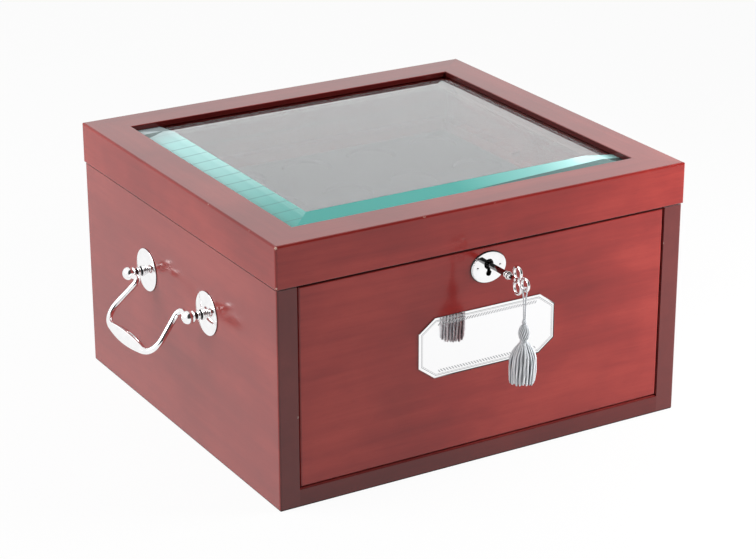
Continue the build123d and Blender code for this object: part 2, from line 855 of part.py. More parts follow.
def drawer_side(side):
    """Return a drawer side with the runner's groove outside and the bottom's groove inside."""
    with BuildPart() as board:
        with BuildSketch(Plane.XY.offset(drawer_low)):
            with Locations((side * (drawer_x - drawer_wall / 2), front_back)):
                Rectangle(
                    drawer_wall, drawer_rear - front_back, align=(Align.CENTER, Align.MIN)
                )
        extrude(amount=drawer_high - drawer_low)
        groove_width = 2 * (drawer_x - inside_x + runner_width + fit)
        with BuildSketch(Plane.XZ.offset(-front_back)):
            with Locations((side * drawer_x, runner_low + runner_height / 2)):
                Rectangle(groove_width, runner_height + 2 * fit)
            with Locations(
                (
                    side * drawer_inside_x,
                    drawer_low + drawer_bottom_height + drawer_bottom_thickness / 2,
                )
            ):
                Rectangle(2 * drawer_bottom_tongue, drawer_bottom_thickness)
        extrude(amount=front_back - drawer_rear, mode=Mode.SUBTRACT)
    return board.part


for side, side_name in ((-1, "drawer_side_left"), (1, "drawer_side_right")):
    with BuildPart() as drawer_board:
        add(drawer_side(side))
    drawer_board.part.label = side_name
    export_step(drawer_board.part, f"parts/{side_name}.step")

with BuildPart() as drawer_subfront:
    with BuildSketch(Plane.XY.offset(drawer_low)):
        with Locations((0, front_back)):
            Rectangle(
                2 * drawer_inside_x, drawer_subfront_thickness, align=(Align.CENTER, Align.MIN)
            )
    extrude(amount=drawer_high - drawer_low)
    with Locations(
        (0, drawer_inside_front, drawer_low + drawer_bottom_height)
    ):
        Box(
            2 * drawer_inside_x,
            2 * drawer_bottom_tongue,
            drawer_bottom_thickness,
            align=(Align.CENTER, Align.CENTER, Align.MIN),
            mode=Mode.SUBTRACT,
        )
    add(front_screw_set, mode=Mode.SUBTRACT)
drawer_subfront.part.label = "drawer_subfront"
export_step(drawer_subfront.part, "parts/drawer_subfront.step")

drawer_back_low = drawer_low + drawer_bottom_height + drawer_bottom_thickness
with BuildPart() as drawer_back:
    with BuildSketch(Plane.XY.offset(drawer_back_low)):
        with Locations((0, drawer_rear)):
            Rectangle(2 * drawer_inside_x, drawer_back_thickness, align=(Align.CENTER, Align.MAX))
    extrude(amount=drawer_high + stop_overlap - drawer_back_low)
drawer_back.part.label = "drawer_back"
export_step(drawer_back.part, "parts/drawer_back.step")

with BuildPart() as drawer_bottom:
    with BuildSketch(Plane.XY.offset(drawer_low + drawer_bottom_height)):
        with Locations((0, drawer_inside_front - drawer_bottom_tongue)):
            Rectangle(
                2 * (drawer_inside_x + drawer_bottom_tongue),
                drawer_rear - drawer_inside_front + drawer_bottom_tongue,
                align=(Align.CENTER, Align.MIN),
            )
    extrude(amount=drawer_bottom_thickness)
drawer_bottom.part.label = "drawer_bottom"
export_step(drawer_bottom.part, "parts/drawer_bottom.step")

inside_length = drawer_inside_rear - drawer_inside_front
with BuildPart() as drawer_lining:
    with BuildSketch(Plane.XY.offset(drawer_floor)):
        with Locations((0, drawer_inside_front)):
            Rectangle(2 * drawer_inside_x, inside_length, align=(Align.CENTER, Align.MIN))
    extrude(amount=lining_thickness)
drawer_lining.part.label = "drawer_lining"
export_step(drawer_lining.part, "parts/drawer_lining.step")

row_width = (2 * drawer_inside_x - divider_count * divider_thickness) / (divider_count + 1)
with BuildPart() as drawer_dividers:
    with BuildSketch(Plane.XY.offset(drawer_floor + lining_thickness)):
        with Locations((0, drawer_inside_front + inside_length / 2)):
            with GridLocations(row_width + divider_thickness, 0, divider_count, 1):
                Rectangle(divider_thickness, inside_length)
    extrude(amount=divider_height)
    fillet(
        drawer_dividers.edges().filter_by(Axis.Y).group_by(Axis.Z)[-1], radius=divider_thickness / 3
    )
drawer_dividers.part.label = "drawer_dividers"
export_step(drawer_dividers.part, "parts/drawer_dividers.step")

with BuildPart() as drawer_front_screws:
    add(front_screw_set)
drawer_front_screws.part.label = "drawer_front_screws"
export_step(drawer_front_screws.part, "parts/drawer_front_screws.step")

# ------------------------------------------------------------------ plates on the front
oval_turns = [2 * pi * number / escutcheon_sides for number in range(escutcheon_sides)]
oval_points = [
    (escutcheon_width / 2 * cos(turn), escutcheon_height / 2 * sin(turn)) for turn in oval_turns
]
with BuildPart() as escutcheon:
    with BuildSketch(front_plane(front_face, escutcheon_centre)):
        with BuildLine():
            Polyline(*oval_points, close=True)
        make_face()
    extrude(amount=escutcheon_thickness)
    chamfer(escutcheon.faces().sort_by(Axis.Y)[0].edges(), length=escutcheon_thickness / 2)
    with BuildSketch(lock_face):
        add(keyhole_outline(keyhole_round, keyhole_neck, keyhole_foot))
    extrude(amount=escutcheon_thickness, mode=Mode.SUBTRACT)
    add(escutcheon_pin_set, mode=Mode.SUBTRACT)
escutcheon.part.label = "escutcheon"
export_step(escutcheon.part, "parts/escutcheon.step")

with BuildPart() as escutcheon_pins:
    add(escutcheon_pin_set)
escutcheon_pins.part.label = "escutcheon_pins"
export_step(escutcheon_pins.part, "parts/escutcheon_pins.step")

with BuildPart() as name_plate:
    with BuildSketch(front_plane(front_face, name_plate_centre)):
        half_x = name_plate_width / 2
        half_z = name_plate_height / 2
        with BuildLine():
            Polyline(
                (half_x, 0),
                (half_x, half_z - name_plate_cut_z),
                (half_x - name_plate_cut_x, half_z),
                (0, half_z),
            )
            mirror(about=Plane.YZ)
            mirror(about=Plane.XZ)
        make_face()
    extrude(amount=name_plate_thickness)
    chamfer(name_plate.faces().sort_by(Axis.Y)[0].edges(), length=name_plate_edge)
name_plate.part.label = "name_plate"
export_step(name_plate.part, "parts/name_plate.step")

# ------------------------------------------------------------------ lock
with BuildPart() as lock_case:
    with BuildSketch(Plane.XY.offset(lock_low)):
        with Locations((0, lock_front)):
            Rectangle(lock_width, lock_depth, align=(Align.CENTER, Align.MIN))
    extrude(amount=lock_high - lock_low)
    with BuildSketch(Plane.XY.offset(lock_low + lock_wall)):
        with Locations((0, lock_front + lock_wall)):
            Rectangle(
                lock_width - 2 * lock_wall, lock_depth, align=(Align.CENTER, Align.MIN)
            )
    extrude(amount=lock_high - lock_low, mode=Mode.SUBTRACT)
    with BuildSketch(front_plane(lock_front, key_height)):
        Circle(key_shank_radius + 2 * lock_fit)
        with Locations((0, -key_bit_radius / 2)):
            Rectangle(key_bit_thickness + 4 * lock_fit, key_bit_radius + 2 * lock_fit)
    extrude(amount=-2 * lock_wall, mode=Mode.SUBTRACT)
lock_case.part.label = "lock_case"
export_step(lock_case.part, "parts/lock_case.step")

cover_front = lock_front + lock_depth
with BuildPart() as lock_cover:
    with BuildSketch(Plane.XY.offset(cover_low)):
        with Locations((0, cover_front)):
            Rectangle(cover_width, lock_wall, align=(Align.CENTER, Align.MIN))
    extrude(amount=lock_high - cover_low)
    add(cover_screw_set, mode=Mode.SUBTRACT)
lock_cover.part.label = "lock_cover"
export_step(lock_cover.part, "parts/lock_cover.step")

with BuildPart() as lock_selvedge:
    with BuildSketch(Plane.XY.offset(wall_top)):
        with Locations((0, selvedge_y)):
            Rectangle(selvedge_width, selvedge_depth)
            Rectangle(
                bolt_head_width + 2 * bolt_gap,
                bolt_head_depth + 2 * bolt_gap,
                mode=Mode.SUBTRACT,
            )
    extrude(amount=-selvedge_thickness)
lock_selvedge.part.label = "lock_selvedge"
export_step(lock_selvedge.part, "parts/lock_selvedge.step")

drill_pin_tip = lock_front - lock_front_wood / 2
with BuildPart() as lock_drill_pin:
    with BuildSketch(front_plane(cover_front, key_height)):
        Circle(drill_pin_radius)
    extrude(amount=cover_front - drill_pin_tip)
lock_drill_pin.part.label = "lock_drill_pin"
export_step(lock_drill_pin.part, "parts/lock_drill_pin.step")

with BuildPart() as lock_screws:
    add(cover_screw_set)
lock_screws.part.label = "lock_screws"
export_step(lock_screws.part, "parts/lock_screws.step")

with BuildPart() as lock_bolt:
    with BuildSketch(front_plane(bolt_plate_back, 0)):
        with Locations((0, bolt_low)):
            Rectangle(
                bolt_plate_width, bolt_shoulder - bolt_low, align=(Align.CENTER, Align.MIN)
            )
        with Locations((0, bolt_shoulder)):
            Rectangle(
                bolt_head_width, bolt_top - bolt_shoulder, align=(Align.CENTER, Align.MIN)
            )
        with Locations((0, key_height - bolt_travel / 2)):
            SlotCenterToCenter(
                bolt_travel, 2 * (drill_pin_radius + bolt_gap), rotation=90, mode=Mode.SUBTRACT
            )
    extrude(amount=bolt_plate_thickness)
    with BuildSketch(front_plane(bolt_plate_back, bolt_head_low)):
        Rectangle(
            bolt_head_width, bolt_top - bolt_head_low, align=(Align.CENTER, Align.MIN)
        )
    extrude(amount=bolt_head_depth)
lock_bolt.part.label = "lock_bolt"
export_step(lock_bolt.part, "parts/lock_bolt.step")

# ------------------------------------------------------------------ key
ring_half = bow_ring_thickness / 2


def bow_ring(y, z):
    """Return one lobe of the bow: a ring of eight-sided wire lying in the plane x = 0."""
    turn = full_turn / 2 / bow_sides
    with BuildPart() as ring:
        with BuildSketch(Plane(origin=(0, y, z), x_dir=(0, 1, 0), z_dir=(1, 0, 0))):
            RegularPolygon(
                bow_ring_radius + ring_half, bow_sides, major_radius=False, rotation=turn
            )
            RegularPolygon(
                bow_ring_radius - ring_half,
                bow_sides,
                major_radius=False,
                rotation=turn,
                mode=Mode.SUBTRACT,
            )
        extrude(amount=ring_half, both=True)
        flat_faces = ring.faces().filter_by(Axis.X).sort_by(Axis.X)
        chamfer(flat_faces[0].edges() + flat_faces[-1].edges(), length=bow_chamfer)
    return ring.part


with BuildPart() as key:
    with BuildSketch(front_plane(bit_back, key_height)):
        Circle(key_shank_radius)
    extrude(amount=bit_back - bow_start)
    with BuildSketch(front_plane(bow_start, key_height)):
        Circle(key_collar_radius)
    extrude(amount=-key_collar_length)
    with BuildSketch(front_plane(bit_back, key_height)):
        with Locations((0, 0)):
            Rectangle(key_bit_thickness, key_bit_radius, align=(Align.CENTER, Align.MAX))
    extrude(amount=key_bit_length)
    with Locations((0, (bit_front + bit_back) / 2, key_height - key_bit_radius)):
        Box(key_bit_thickness, key_ward_cut, 3 * key_ward_cut, mode=Mode.SUBTRACT)
    neck_length = bow_start - bow_pair_y + bow_hub_radius
    with Locations((0, bow_start, key_height)):
        Box(
            bow_ring_thickness, neck_length, bow_neck_width,
            align=(Align.CENTER, Align.MAX, Align.CENTER),
        )
    with BuildSketch(Plane(origin=(0, bow_pair_y - bow_hub_radius, key_height), z_dir=(1, 0, 0))):
        Circle(bow_hub_radius)
    extrude(amount=ring_half, both=True)
    for z in (key_height - bow_lobe_rise, key_height + bow_lobe_rise):
        add(bow_ring(bow_pair_y, z))
    add(bow_ring(bow_end_y, key_height))
    with BuildSketch(front_plane(bit_back, key_height)):
        Circle(key_bore_radius)
    extrude(amount=bit_back - drill_pin_tip + bolt_gap, mode=Mode.SUBTRACT)
key.part.label = "key"
export_step(key.part, "parts/key.step")

# ------------------------------------------------------------------ handles
def wall_plane(side, y):
    """Return the plane on the wall at a handle post's foot, facing out along the post."""
    return Plane(
        origin=(side * case_width / 2, y, handle_height), x_dir=(0, 1, 0), z_dir=(side, 0, 0)
    )


post_places = [(side, end * handle_spacing / 2) for side in sides for end in sides]
rosette_outline = [
    (0, rosette_radius),
    (rosette_edge, rosette_radius),
    (rosette_dome_rise, rosette_dome_radius),
    (rosette_rise, post_ring_radii[0]),
]
rosette_hole = [(0, handle_screw_radius + lock_fit), (rosette_rise, handle_screw_radius + lock_fit)]
with BuildPart() as handle_rosettes:
    for side, y in post_places:
        add(turned(wall_plane(side, y), rosette_outline, rosette_sides))
        add(turned(wall_plane(side, y), rosette_hole, post_sides), mode=Mode.SUBTRACT)
handle_rosettes.part.label = "handle_rosettes"
export_step(handle_rosettes.part, "parts/handle_rosettes.step")

post_outline = []
ring_start = rosette_rise
for ring_radius in post_ring_radii:
    ring_end = ring_start + post_ring_width
    post_outline += [
        (ring_start, ring_radius),
        (ring_end, ring_radius),
        (ring_end, post_neck_radius),
        (ring_end + post_groove_width, post_neck_radius),
    ]
    ring_start = ring_end + post_groove_width
ball_flat = post_ball_radius * sin(pi / 8) / cos(pi / 8)
ball_outline = [
    (post_reach - post_ball_radius, ball_flat),
    (post_reach - ball_flat, post_ball_radius),
    (post_reach + ball_flat, post_ball_radius),
    (post_reach + post_ball_radius, ball_flat),
]
post_outline.append((post_reach - post_ball_radius, post_neck_radius))
screw_thread = [(0, handle_screw_radius), (rosette_rise + handle_screw_hold, handle_screw_radius)]

with BuildPart() as handle_posts:
    for side, y in post_places:
        add(turned(wall_plane(side, y), post_outline + ball_outline, post_sides))
        add(turned(wall_plane(side, y), screw_thread, post_sides), mode=Mode.SUBTRACT)
    for side in sides:
        with BuildSketch(Plane.XZ):
            with Locations((side * handle_x, handle_height)):
                Circle(post_hole_radius)
        extrude(amount=handle_spacing / 2 + bail_pin_radius, both=True, mode=Mode.SUBTRACT)
handle_posts.part.label = "handle_posts"
export_step(handle_posts.part, "parts/handle_posts.step")

screw_head_floor = fit - side_thickness
screw_outline = [
    (screw_head_floor, handle_screw_head),
    (screw_head_floor + handle_screw_head_height, handle_screw_head),
    (screw_head_floor + handle_screw_head_height, handle_screw_radius),
    (rosette_rise + handle_screw_hold - fit, handle_screw_radius),
]
with BuildPart() as handle_screws:
    for side, y in post_places:
        add(turned(wall_plane(side, y), screw_outline, post_sides))
handle_screws.part.label = "handle_screws"
export_step(handle_screws.part, "parts/handle_screws.step")

bail_end = handle_spacing / 2 - post_ball_radius - ball_clearance
grip_parts = [number / grip_steps for number in range(-grip_steps, grip_steps + 1)]
grip_outline = [
    (part * grip_length / 2, grip_radius - (grip_radius - bail_wire_radius) * part**2)
    for part in grip_parts
]


def bail(side):
    """Return a bail: bent wire with a swelling grip, hung in the posts by a pin at each end."""
    angle = radians(bail_rest_angle)
    place = Plane(
        origin=(side * handle_x, 0, handle_height),
        x_dir=(0, 1, 0),
        z_dir=(cos(angle), 0, side * sin(angle)),
    )
    with BuildPart() as piece:
        with BuildLine(place) as route:
            FilletPolyline(
                (bail_end, 0),
                (bail_neck, bail_neck_rise),
                (bail_corner, -bail_drop),
                (-bail_corner, -bail_drop),
                (-bail_neck, bail_neck_rise),
                (-bail_end, 0),
                radius=[bail_neck_bend, bail_corner_bend, bail_corner_bend, bail_neck_bend],
            )
        with BuildSketch(Plane(origin=route.line @ 0, z_dir=route.line % 0)):
            RegularPolygon(bail_wire_radius, bail_wire_sides, major_radius=False)
        sweep(path=route.line)
        grip_centre = place.from_local_coords((0, -bail_drop, 0))
        add(turned(Plane(origin=grip_centre, z_dir=place.x_dir), grip_outline, post_sides))
        for end in sides:
            with BuildSketch(
                Plane(origin=(side * handle_x, end * bail_end, handle_height), z_dir=(0, end, 0))
            ):
                Circle(bail_pin_radius)
            extrude(amount=post_ball_radius)
    return piece.part


for side, side_name in ((-1, "left_bail"), (1, "right_bail")):
    with BuildPart() as side_bail:
        add(bail(side))
    side_bail.part.label = side_name
    export_step(side_bail.part, f"parts/{side_name}.step")

# ------------------------------------------------------------------ tassel
def largest_bend(before, corner, after):
    """Return the largest bend radius that the two runs beside a corner allow."""
    first = Vector(*corner) - Vector(*before)
    second = Vector(*after) - Vector(*corner)
    half_turn = radians(first.get_angle(second)) / 2
    return 0.45 * min(first.length, second.length) * cos(half_turn) / sin(half_turn)


leg_x = cord_leg_spacing / 2
leg_points = [
    (leg_x, knot_top),
    (leg_x, knot_top + (cord_join - knot_top) * 0.6),
    (cord_loop_radius, cord_join + 2.5),
    (cord_loop_radius, tassel_pivot_z),
]
leg_bends = [
    largest_bend(*leg_points[number : number + 3]) for number in range(len(leg_points) - 2)
]
print("tassel cord bends", [round(bend, 2) for bend in leg_bends], "loop", cord_loop_radius)

with BuildPart() as tassel_cord:
    with BuildLine(Plane.XZ.offset(-bow_end_y)) as cord_route:
        FilletPolyline(*[(-x, z) for x, z in leg_points], radius=leg_bends)
        CenterArc((0, tassel_pivot_z), cord_loop_radius, 0, 180)
        FilletPolyline(*leg_points, radius=leg_bends)
    cord_start = (-leg_x, bow_end_y, knot_top)
    with BuildSketch(Plane(origin=cord_start, z_dir=(0, 0, 1))):
        RegularPolygon(cord_radius, cord_sides)
    sweep(path=cord_route.wires()[0])
tassel_cord.part.label = "tassel_cord"
export_step(tassel_cord.part, "parts/tassel_cord.step")
cord_length = cord_route.wires()[0].length
print("tassel cord length", round(cord_length, 2), "volume", round(tassel_cord.part.volume, 2),
      "section by length", round(pi * cord_radius**2 * cord_length, 2))

tassel_place = Plane(origin=(0, bow_end_y, 0), x_dir=(1, 0, 0), z_dir=(0, 0, 1))
knot_end_radius = leg_x + cord_radius + lock_fit
knot_middle = (head_top + knot_top) / 2
knot_outline = [
    (head_top, knot_end_radius),
    (knot_middle, knot_radius),
    (knot_top, knot_end_radius),
]
with BuildPart() as tassel_knot:
    add(turned(tassel_place, knot_outline, knot_sides))
tassel_knot.part.label = "tassel_knot"
export_step(tassel_knot.part, "parts/tassel_knot.step")

head_height = head_top - head_bottom
head_outline = [
    (skirt_top, neck_radius),
    (head_bottom, neck_radius),
    (head_bottom + head_height / 4, head_radius - lock_fit),
    (head_bottom + head_height / 2, head_radius),
    (head_top - head_height / 5, head_radius * 4 / 5),
    (head_top, knot_end_radius),
]
with BuildPart() as tassel_head:
    add(turned(tassel_place, head_outline, head_sides))
tassel_head.part.label = "tassel_head"
export_step(tassel_head.part, "parts/tassel_head.step")


skirt_length = skirt_top - skirt_bottom
skirt_spread = skirt_radius - skirt_top_radius
strand_outside = [
    (skirt_top_radius, skirt_top),
    (
        skirt_top_radius + strand_bend_spread * skirt_spread,
        skirt_top - strand_bend * skirt_length,
    ),
    (skirt_radius, skirt_bottom),
]
strand_inside = [(x - strand_width, z) for x, z in reversed(strand_outside)]
core_outline = [(z, (x - strand_width) * core_share) for x, z in reversed(strand_outside[1:])]
core_outline.append((skirt_top, skirt_top_radius))


def strand(turn):
    """Return one hanging yarn, drawn in the upright plane through the tassel's axis."""
    side_view = Plane(
        origin=(0, bow_end_y, 0), x_dir=(cos(turn), sin(turn), 0), z_dir=(sin(turn), -cos(turn), 0)
    )
    with BuildPart() as yarn:
        with BuildSketch(side_view):
            with BuildLine():
                Polyline(*strand_outside, *strand_inside, close=True)
            make_face()
        extrude(amount=strand_width / 2, both=True)
    return yarn.part


with BuildPart() as tassel_skirt:
    add(turned(tassel_place, core_outline, head_sides))
    add([strand(2 * pi * number / strand_count) for number in range(strand_count)])
tassel_skirt.part.label = "tassel_skirt"
export_step(tassel_skirt.part, "parts/tassel_skirt.step")
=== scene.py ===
"""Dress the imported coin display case: finishes, fine metalwork, glass, tassel and studio."""

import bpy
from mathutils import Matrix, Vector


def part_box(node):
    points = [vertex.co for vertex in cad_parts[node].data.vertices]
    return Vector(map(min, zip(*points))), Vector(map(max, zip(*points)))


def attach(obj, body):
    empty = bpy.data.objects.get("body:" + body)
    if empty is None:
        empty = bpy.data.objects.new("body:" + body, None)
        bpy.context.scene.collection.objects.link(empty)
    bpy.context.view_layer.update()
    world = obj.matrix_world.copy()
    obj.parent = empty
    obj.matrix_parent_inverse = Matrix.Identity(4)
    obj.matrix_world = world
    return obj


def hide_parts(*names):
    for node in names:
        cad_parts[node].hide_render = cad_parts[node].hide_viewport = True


bl_info = {
    "name": "Coin Display Case",
    "version": (1, 0, 0),
    "blender": (4, 5, 0),
    "location": "3D View > Sidebar > Coin Case",
    "description": "Finishes and fine pieces for a lacquered coin case with a glass lid",
    "category": "Add Mesh",
}

from math import asin, cos, pi, radians, sin, sqrt, tan

import bmesh
import bpy
import numpy as np
from mathutils import Matrix, Vector

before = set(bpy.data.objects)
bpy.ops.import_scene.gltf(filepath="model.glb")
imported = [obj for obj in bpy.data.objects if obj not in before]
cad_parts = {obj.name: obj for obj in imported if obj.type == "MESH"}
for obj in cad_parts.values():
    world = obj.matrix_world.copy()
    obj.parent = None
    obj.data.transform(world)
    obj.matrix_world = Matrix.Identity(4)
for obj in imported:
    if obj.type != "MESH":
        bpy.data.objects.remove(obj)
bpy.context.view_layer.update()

MM = 0.001
X_AXIS, Y_AXIS, Z_AXIS = np.eye(3)

# Places on the case, in millimetres
FRONT_FACE = -159.5
KEY_HEIGHT = 155.6
HANDLE_HEIGHT = 115.0


# ------------------------------------------------------------------ sizes and colours
def colour(text, value, description):
    """A colour that a user can change, in linear light."""
    return bpy.props.FloatVectorProperty(
        name=text, description=description, subtype="COLOR", size=3, min=0, max=1, default=value
    )


def share(text, value, description):
    """A factor from 0 to 1 that a user can change."""
    return bpy.props.FloatProperty(
        name=text, description=description, subtype="FACTOR", min=0, max=1, default=value
    )


def length(text, value, description):
    """A length that a user can change, given here in millimetres."""
    return bpy.props.FloatProperty(
        name=text,
        description=description,
        subtype="DISTANCE",
        unit="LENGTH",
        min=0,
        precision=5,
        default=value * MM,
    )


class CoinCaseTimber(bpy.types.PropertyGroup):
    """The lacquered cherry and the plain wood inside."""

    dark: colour("Dark grain", (0.165, 0.009, 0.008), "Cherry where the grain is darkest")
    middle: colour("Middle grain", (0.232, 0.016, 0.013), "Cherry between the bands of grain")
    light: colour("Light grain", (0.315, 0.030, 0.022), "Cherry where the grain is lightest")
    chip: colour("Chipped edge", (0.62, 0.42, 0.34), "Bare wood where the lacquer is chipped")
    # Painted shade: the colour of the dark bands painted in gaps, on front faces and round the
    # lid's opening.
    painted_shade: colour("Edge stain", (0.030, 0.003, 0.003), "Dark stain along edges and rebates")
    # Painted shade: the near black painted round the keyhole, as shade inside the hole.
    keyhole: colour("Keyhole", (0.004, 0.003, 0.003), "Wood that shows through the keyhole")
    inner_dark: colour("Inner dark", (0.090, 0.028, 0.017), "Stained wood inside, dark grain")
    inner_light: colour("Inner light", (0.200, 0.075, 0.045), "Stained wood inside, light grain")
    lacquer: share("Lacquer", 0.88, "Weight of the clear lacquer over the cherry")
    lacquer_haze: share("Lacquer haze", 0.13, "Roughness of the lacquer")
    bloom: share("Bloom", 0.25, "Weight of the pale haze that the lacquer shows at a glance")


class CoinCaseMetal(bpy.types.PropertyGroup):
    """The polished handles, key and plates, and the lock's brushed steel."""

    nickel: colour("Nickel", (0.95, 0.95, 0.955), "Colour of the polished nickel")
    nickel_haze: share("Nickel haze", 0.05, "Roughness of the polished nickel")
    # Painted dark reflection: the colour of the dark bands painted in grooves, at rims and on the
    # key's shank.
    painted_dark_reflection: colour("Old polish", (0.02, 0.02, 0.022), "Dark polish left in grooves and at rims")
    steel: colour("Steel", (0.52, 0.51, 0.49), "Colour of the lock's brushed steel")
    rosette_dome: length("Rosette dome", 2.35, "Height of a rosette's dome over its rim")
    grip_swell: length("Grip swell", 3.0, "How far a bail's grip swells over its wire")


class CoinCaseTassel(bpy.types.PropertyGroup):
    """The twisted cord and the yarns of the tassel."""

    # Painted light and shade: crown and light colour the lit crowns of the plies, dark the shade in
    # the grooves and between yarns.
    crown: colour("Yarn crown", (0.86, 0.88, 0.90), "Yarn on the crowns of its plies")
    light: colour("Light yarn", (0.66, 0.69, 0.72), "Yarn where the light catches it")
    dark: colour("Dark yarn", (0.10, 0.115, 0.135), "Yarn in the grooves between the plies")
    yarns: bpy.props.IntProperty(
        name="Outer yarns", description="Yarns round the skirt", min=8, max=60, default=22
    )
    yarn_radius: length("Yarn radius", 1.02, "Half the thickness of one hanging yarn")
    ply_turn: length("Ply turn", 15.0, "Length in which a yarn's plies go once round")


class CoinCaseGlass(bpy.types.PropertyGroup):
    """The bevelled plate glass of the lid."""

    tint: colour("Tint", (0.73, 0.76, 0.77), "Colour of the plate seen through")
    # Painted light: bevel, glare and far_end colour the left and front bevels as lit by light
    # carried through the glass edge, and shadow paints dark lines and reflections on them.
    bevel: colour("Bevel", (0.022, 0.41, 0.36), "Edge colour that the bevel shows")
    glare: colour("Glare", (0.56, 1.0, 0.98), "Bevel where it catches the light")
    far_end: colour("Far end", (0.50, 0.60, 0.62), "Left bevel at its far end")
    shadow: colour("Shadow", (0.02, 0.08, 0.075), "Lines and dark reflections in the bevels")


class CoinCaseStudio(bpy.types.PropertyGroup):
    """The camera, the lamps and the pale floor."""

    lens: bpy.props.FloatProperty(
        name="Lens", description="Focal length in millimetres", default=113.4
    )
    surroundings: share("Surroundings", 0.17, "Strength of the even light from all sides")
    dark_room: share("Dark room", 0.95, "How dark the room before the case is in polished parts")
    floor_white: share("Floor white", 0.94, "How much of the floor shows as pure white")
    key_power: bpy.props.FloatProperty(
        name="Key lamp", description="Power of the lamp on the left, in watts", default=25.0
    )
    fill_power: bpy.props.FloatProperty(
        name="Fill lamp", description="Power of the lamp on the right, in watts", default=6.6
    )
    back_power: bpy.props.FloatProperty(
        name="Back lamp", description="Power of the soft lamp behind, in watts", default=6.0
    )


# ------------------------------------------------------------------ shaders
class Flow:
    """An output socket of a material, on which arithmetic adds the nodes that it needs."""

    def __init__(self, tree, socket=None):
        self.tree = tree
        self.socket = socket

    def node(self, kind, settings=None, values=None, output=0):
        """Add a node: its settings first, then its sockets' values or links."""
        made = self.tree.nodes.new(kind)
        for name, value in (settings or {}).items():
            if name == "stops":
                ramp = made.color_ramp
                while len(ramp.elements) < len(value):
                    ramp.elements.new(1.0)
                for element, (place, tone) in zip(ramp.elements, value):
                    element.position = place
                    element.color = (*tone, 1.0)
            else:
                setattr(made, name, value)
        for name, value in (values or {}).items():
            self.connect(made.inputs[name], value)
        return Flow(self.tree, made.outputs[output])

    def connect(self, socket, value):
        """Link a flow into a socket, or set the socket's own value."""
        if isinstance(value, Flow):
            self.tree.links.new(value.socket, socket)
        elif socket.type == "RGBA" and len(value) == 3:
            socket.default_value = (*value, 1.0)
        else:
            socket.default_value = value

    def math(self, operation, *others):
        """Add a Math node on this value and the others."""
        values = dict(enumerate((self, *others)))
        return self.node("ShaderNodeMath", {"operation": operation}, values)

    def __add__(self, other):
        return self.math("ADD", other)

    def __radd__(self, other):
        return self.math("ADD", other)

    def __sub__(self, other):
        return self.math("SUBTRACT", other)

    def __rsub__(self, other):
        return self.node("ShaderNodeMath", {"operation": "SUBTRACT"}, {0: other, 1: self})

    def __mul__(self, other):
        return self.math("MULTIPLY", other)

    def __rmul__(self, other):
        return self.math("MULTIPLY", other)

    def __truediv__(self, other):
        return self.math("DIVIDE", other)

    def __abs__(self):
        return self.math("ABSOLUTE")

    def larger(self, other):
        """Return the larger of two values."""
        return self.math("MAXIMUM", other)

    def smaller(self, other):
        """Return the smaller of two values."""
        return self.math("MINIMUM", other)

    def step(self, low, high):
        """Ramp smoothly from 0 at low to 1 at high."""
        settings = {"interpolation_type": "SMOOTHSTEP"}
        values = {"Value": self, "From Min": low, "From Max": high}
        return self.node("ShaderNodeMapRange", settings, values)

    def band(self, centre, half, soft):
        """Return 1 within half of centre and 0 beyond, over a soft edge."""
        return 1 - abs(self - centre).step(half, half + soft)

    def part(self, number):
        """Return one coordinate of a vector."""
        return self.node("ShaderNodeSeparateXYZ", None, {0: self}, number)

    def scaled(self, scale, shift=(0, 0, 0)):
        """Scale a vector and then shift it."""
        settings = {"operation": "MULTIPLY_ADD"}
        return self.node("ShaderNodeVectorMath", settings, {0: self, 1: scale, 2: shift})

    def plus(self, other):
        """Add a vector."""
        return self.node("ShaderNodeVectorMath", {"operation": "ADD"}, {0: self, 1: other})

    def reach(self):
        """Return the length of a vector."""
        return self.node("ShaderNodeVectorMath", {"operation": "LENGTH"}, {0: self}, "Value")

    def dot(self, other):
        """Return the dot product with a vector."""
        settings = {"operation": "DOT_PRODUCT"}
        return self.node("ShaderNodeVectorMath", settings, {0: self, 1: other}, "Value")

    def noise(self, scale, detail=2.0, roughness=0.5, output="Fac"):
        """Read noise at this vector."""
        values = {"Vector": self, "Scale": scale, "Detail": detail, "Roughness": roughness}
        return self.node("ShaderNodeTexNoise", None, values, output)

    def mix(self, first, second):
        """Mix two colours by this factor."""
        return self.node("ShaderNodeMix", {"data_type": "RGBA"}, {0: self, 6: first, 7: second}, 2)

    def ramp(self, *stops):
        """Turn a value into a colour through stops of place and colour."""
        return self.node("ShaderNodeValToRGB", {"stops": stops}, {0: self})

    def bump(self, strength, distance):
        """Turn a height into a normal."""
        values = {"Strength": strength, "Distance": distance, "Height": self}
        return self.node("ShaderNodeBump", None, values)


class Finish:
    """A material with one Principled shader."""

    def __init__(self, name, **sockets):
        self.material = bpy.data.materials.new(name)
        self.material.use_nodes = True
        self.tree = self.material.node_tree
        self.surface = self.tree.nodes["Principled BSDF"]
        self.flow = Flow(self.tree)
        self.set(**sockets)

    def set(self, **sockets):
        """Set or link sockets of the shader, named with underscores for spaces."""
        for name, value in sockets.items():
            self.flow.connect(self.surface.inputs[name.replace("_", " ")], value)

    def place(self):
        """Return the object coordinates."""
        return self.flow.node("ShaderNodeTexCoord", None, None, "Object")

    def attribute(self, name):
        """Return a number that the mesh carries."""
        return self.flow.node("ShaderNodeAttribute", {"attribute_name": name}, None, "Fac")

    def covered(self, mask, shader):
        """Show another shader over this one, as far as the mask says."""
        under = Flow(self.tree, self.surface.outputs[0])
        both = self.flow.node("ShaderNodeMixShader", None, {0: mask, 1: under, 2: shader})
        output = next(node for node in self.tree.nodes if node.type == "OUTPUT_MATERIAL")
        self.tree.links.new(both.socket, output.inputs["Surface"])


def rays(flow):
    """Return three values that are 1 on the camera's, on mirrored and on passing rays."""
    names = ("Is Camera Ray", "Is Glossy Ray", "Is Transmission Ray")
    return [flow.node("ShaderNodeLightPath", None, None, name) for name in names]


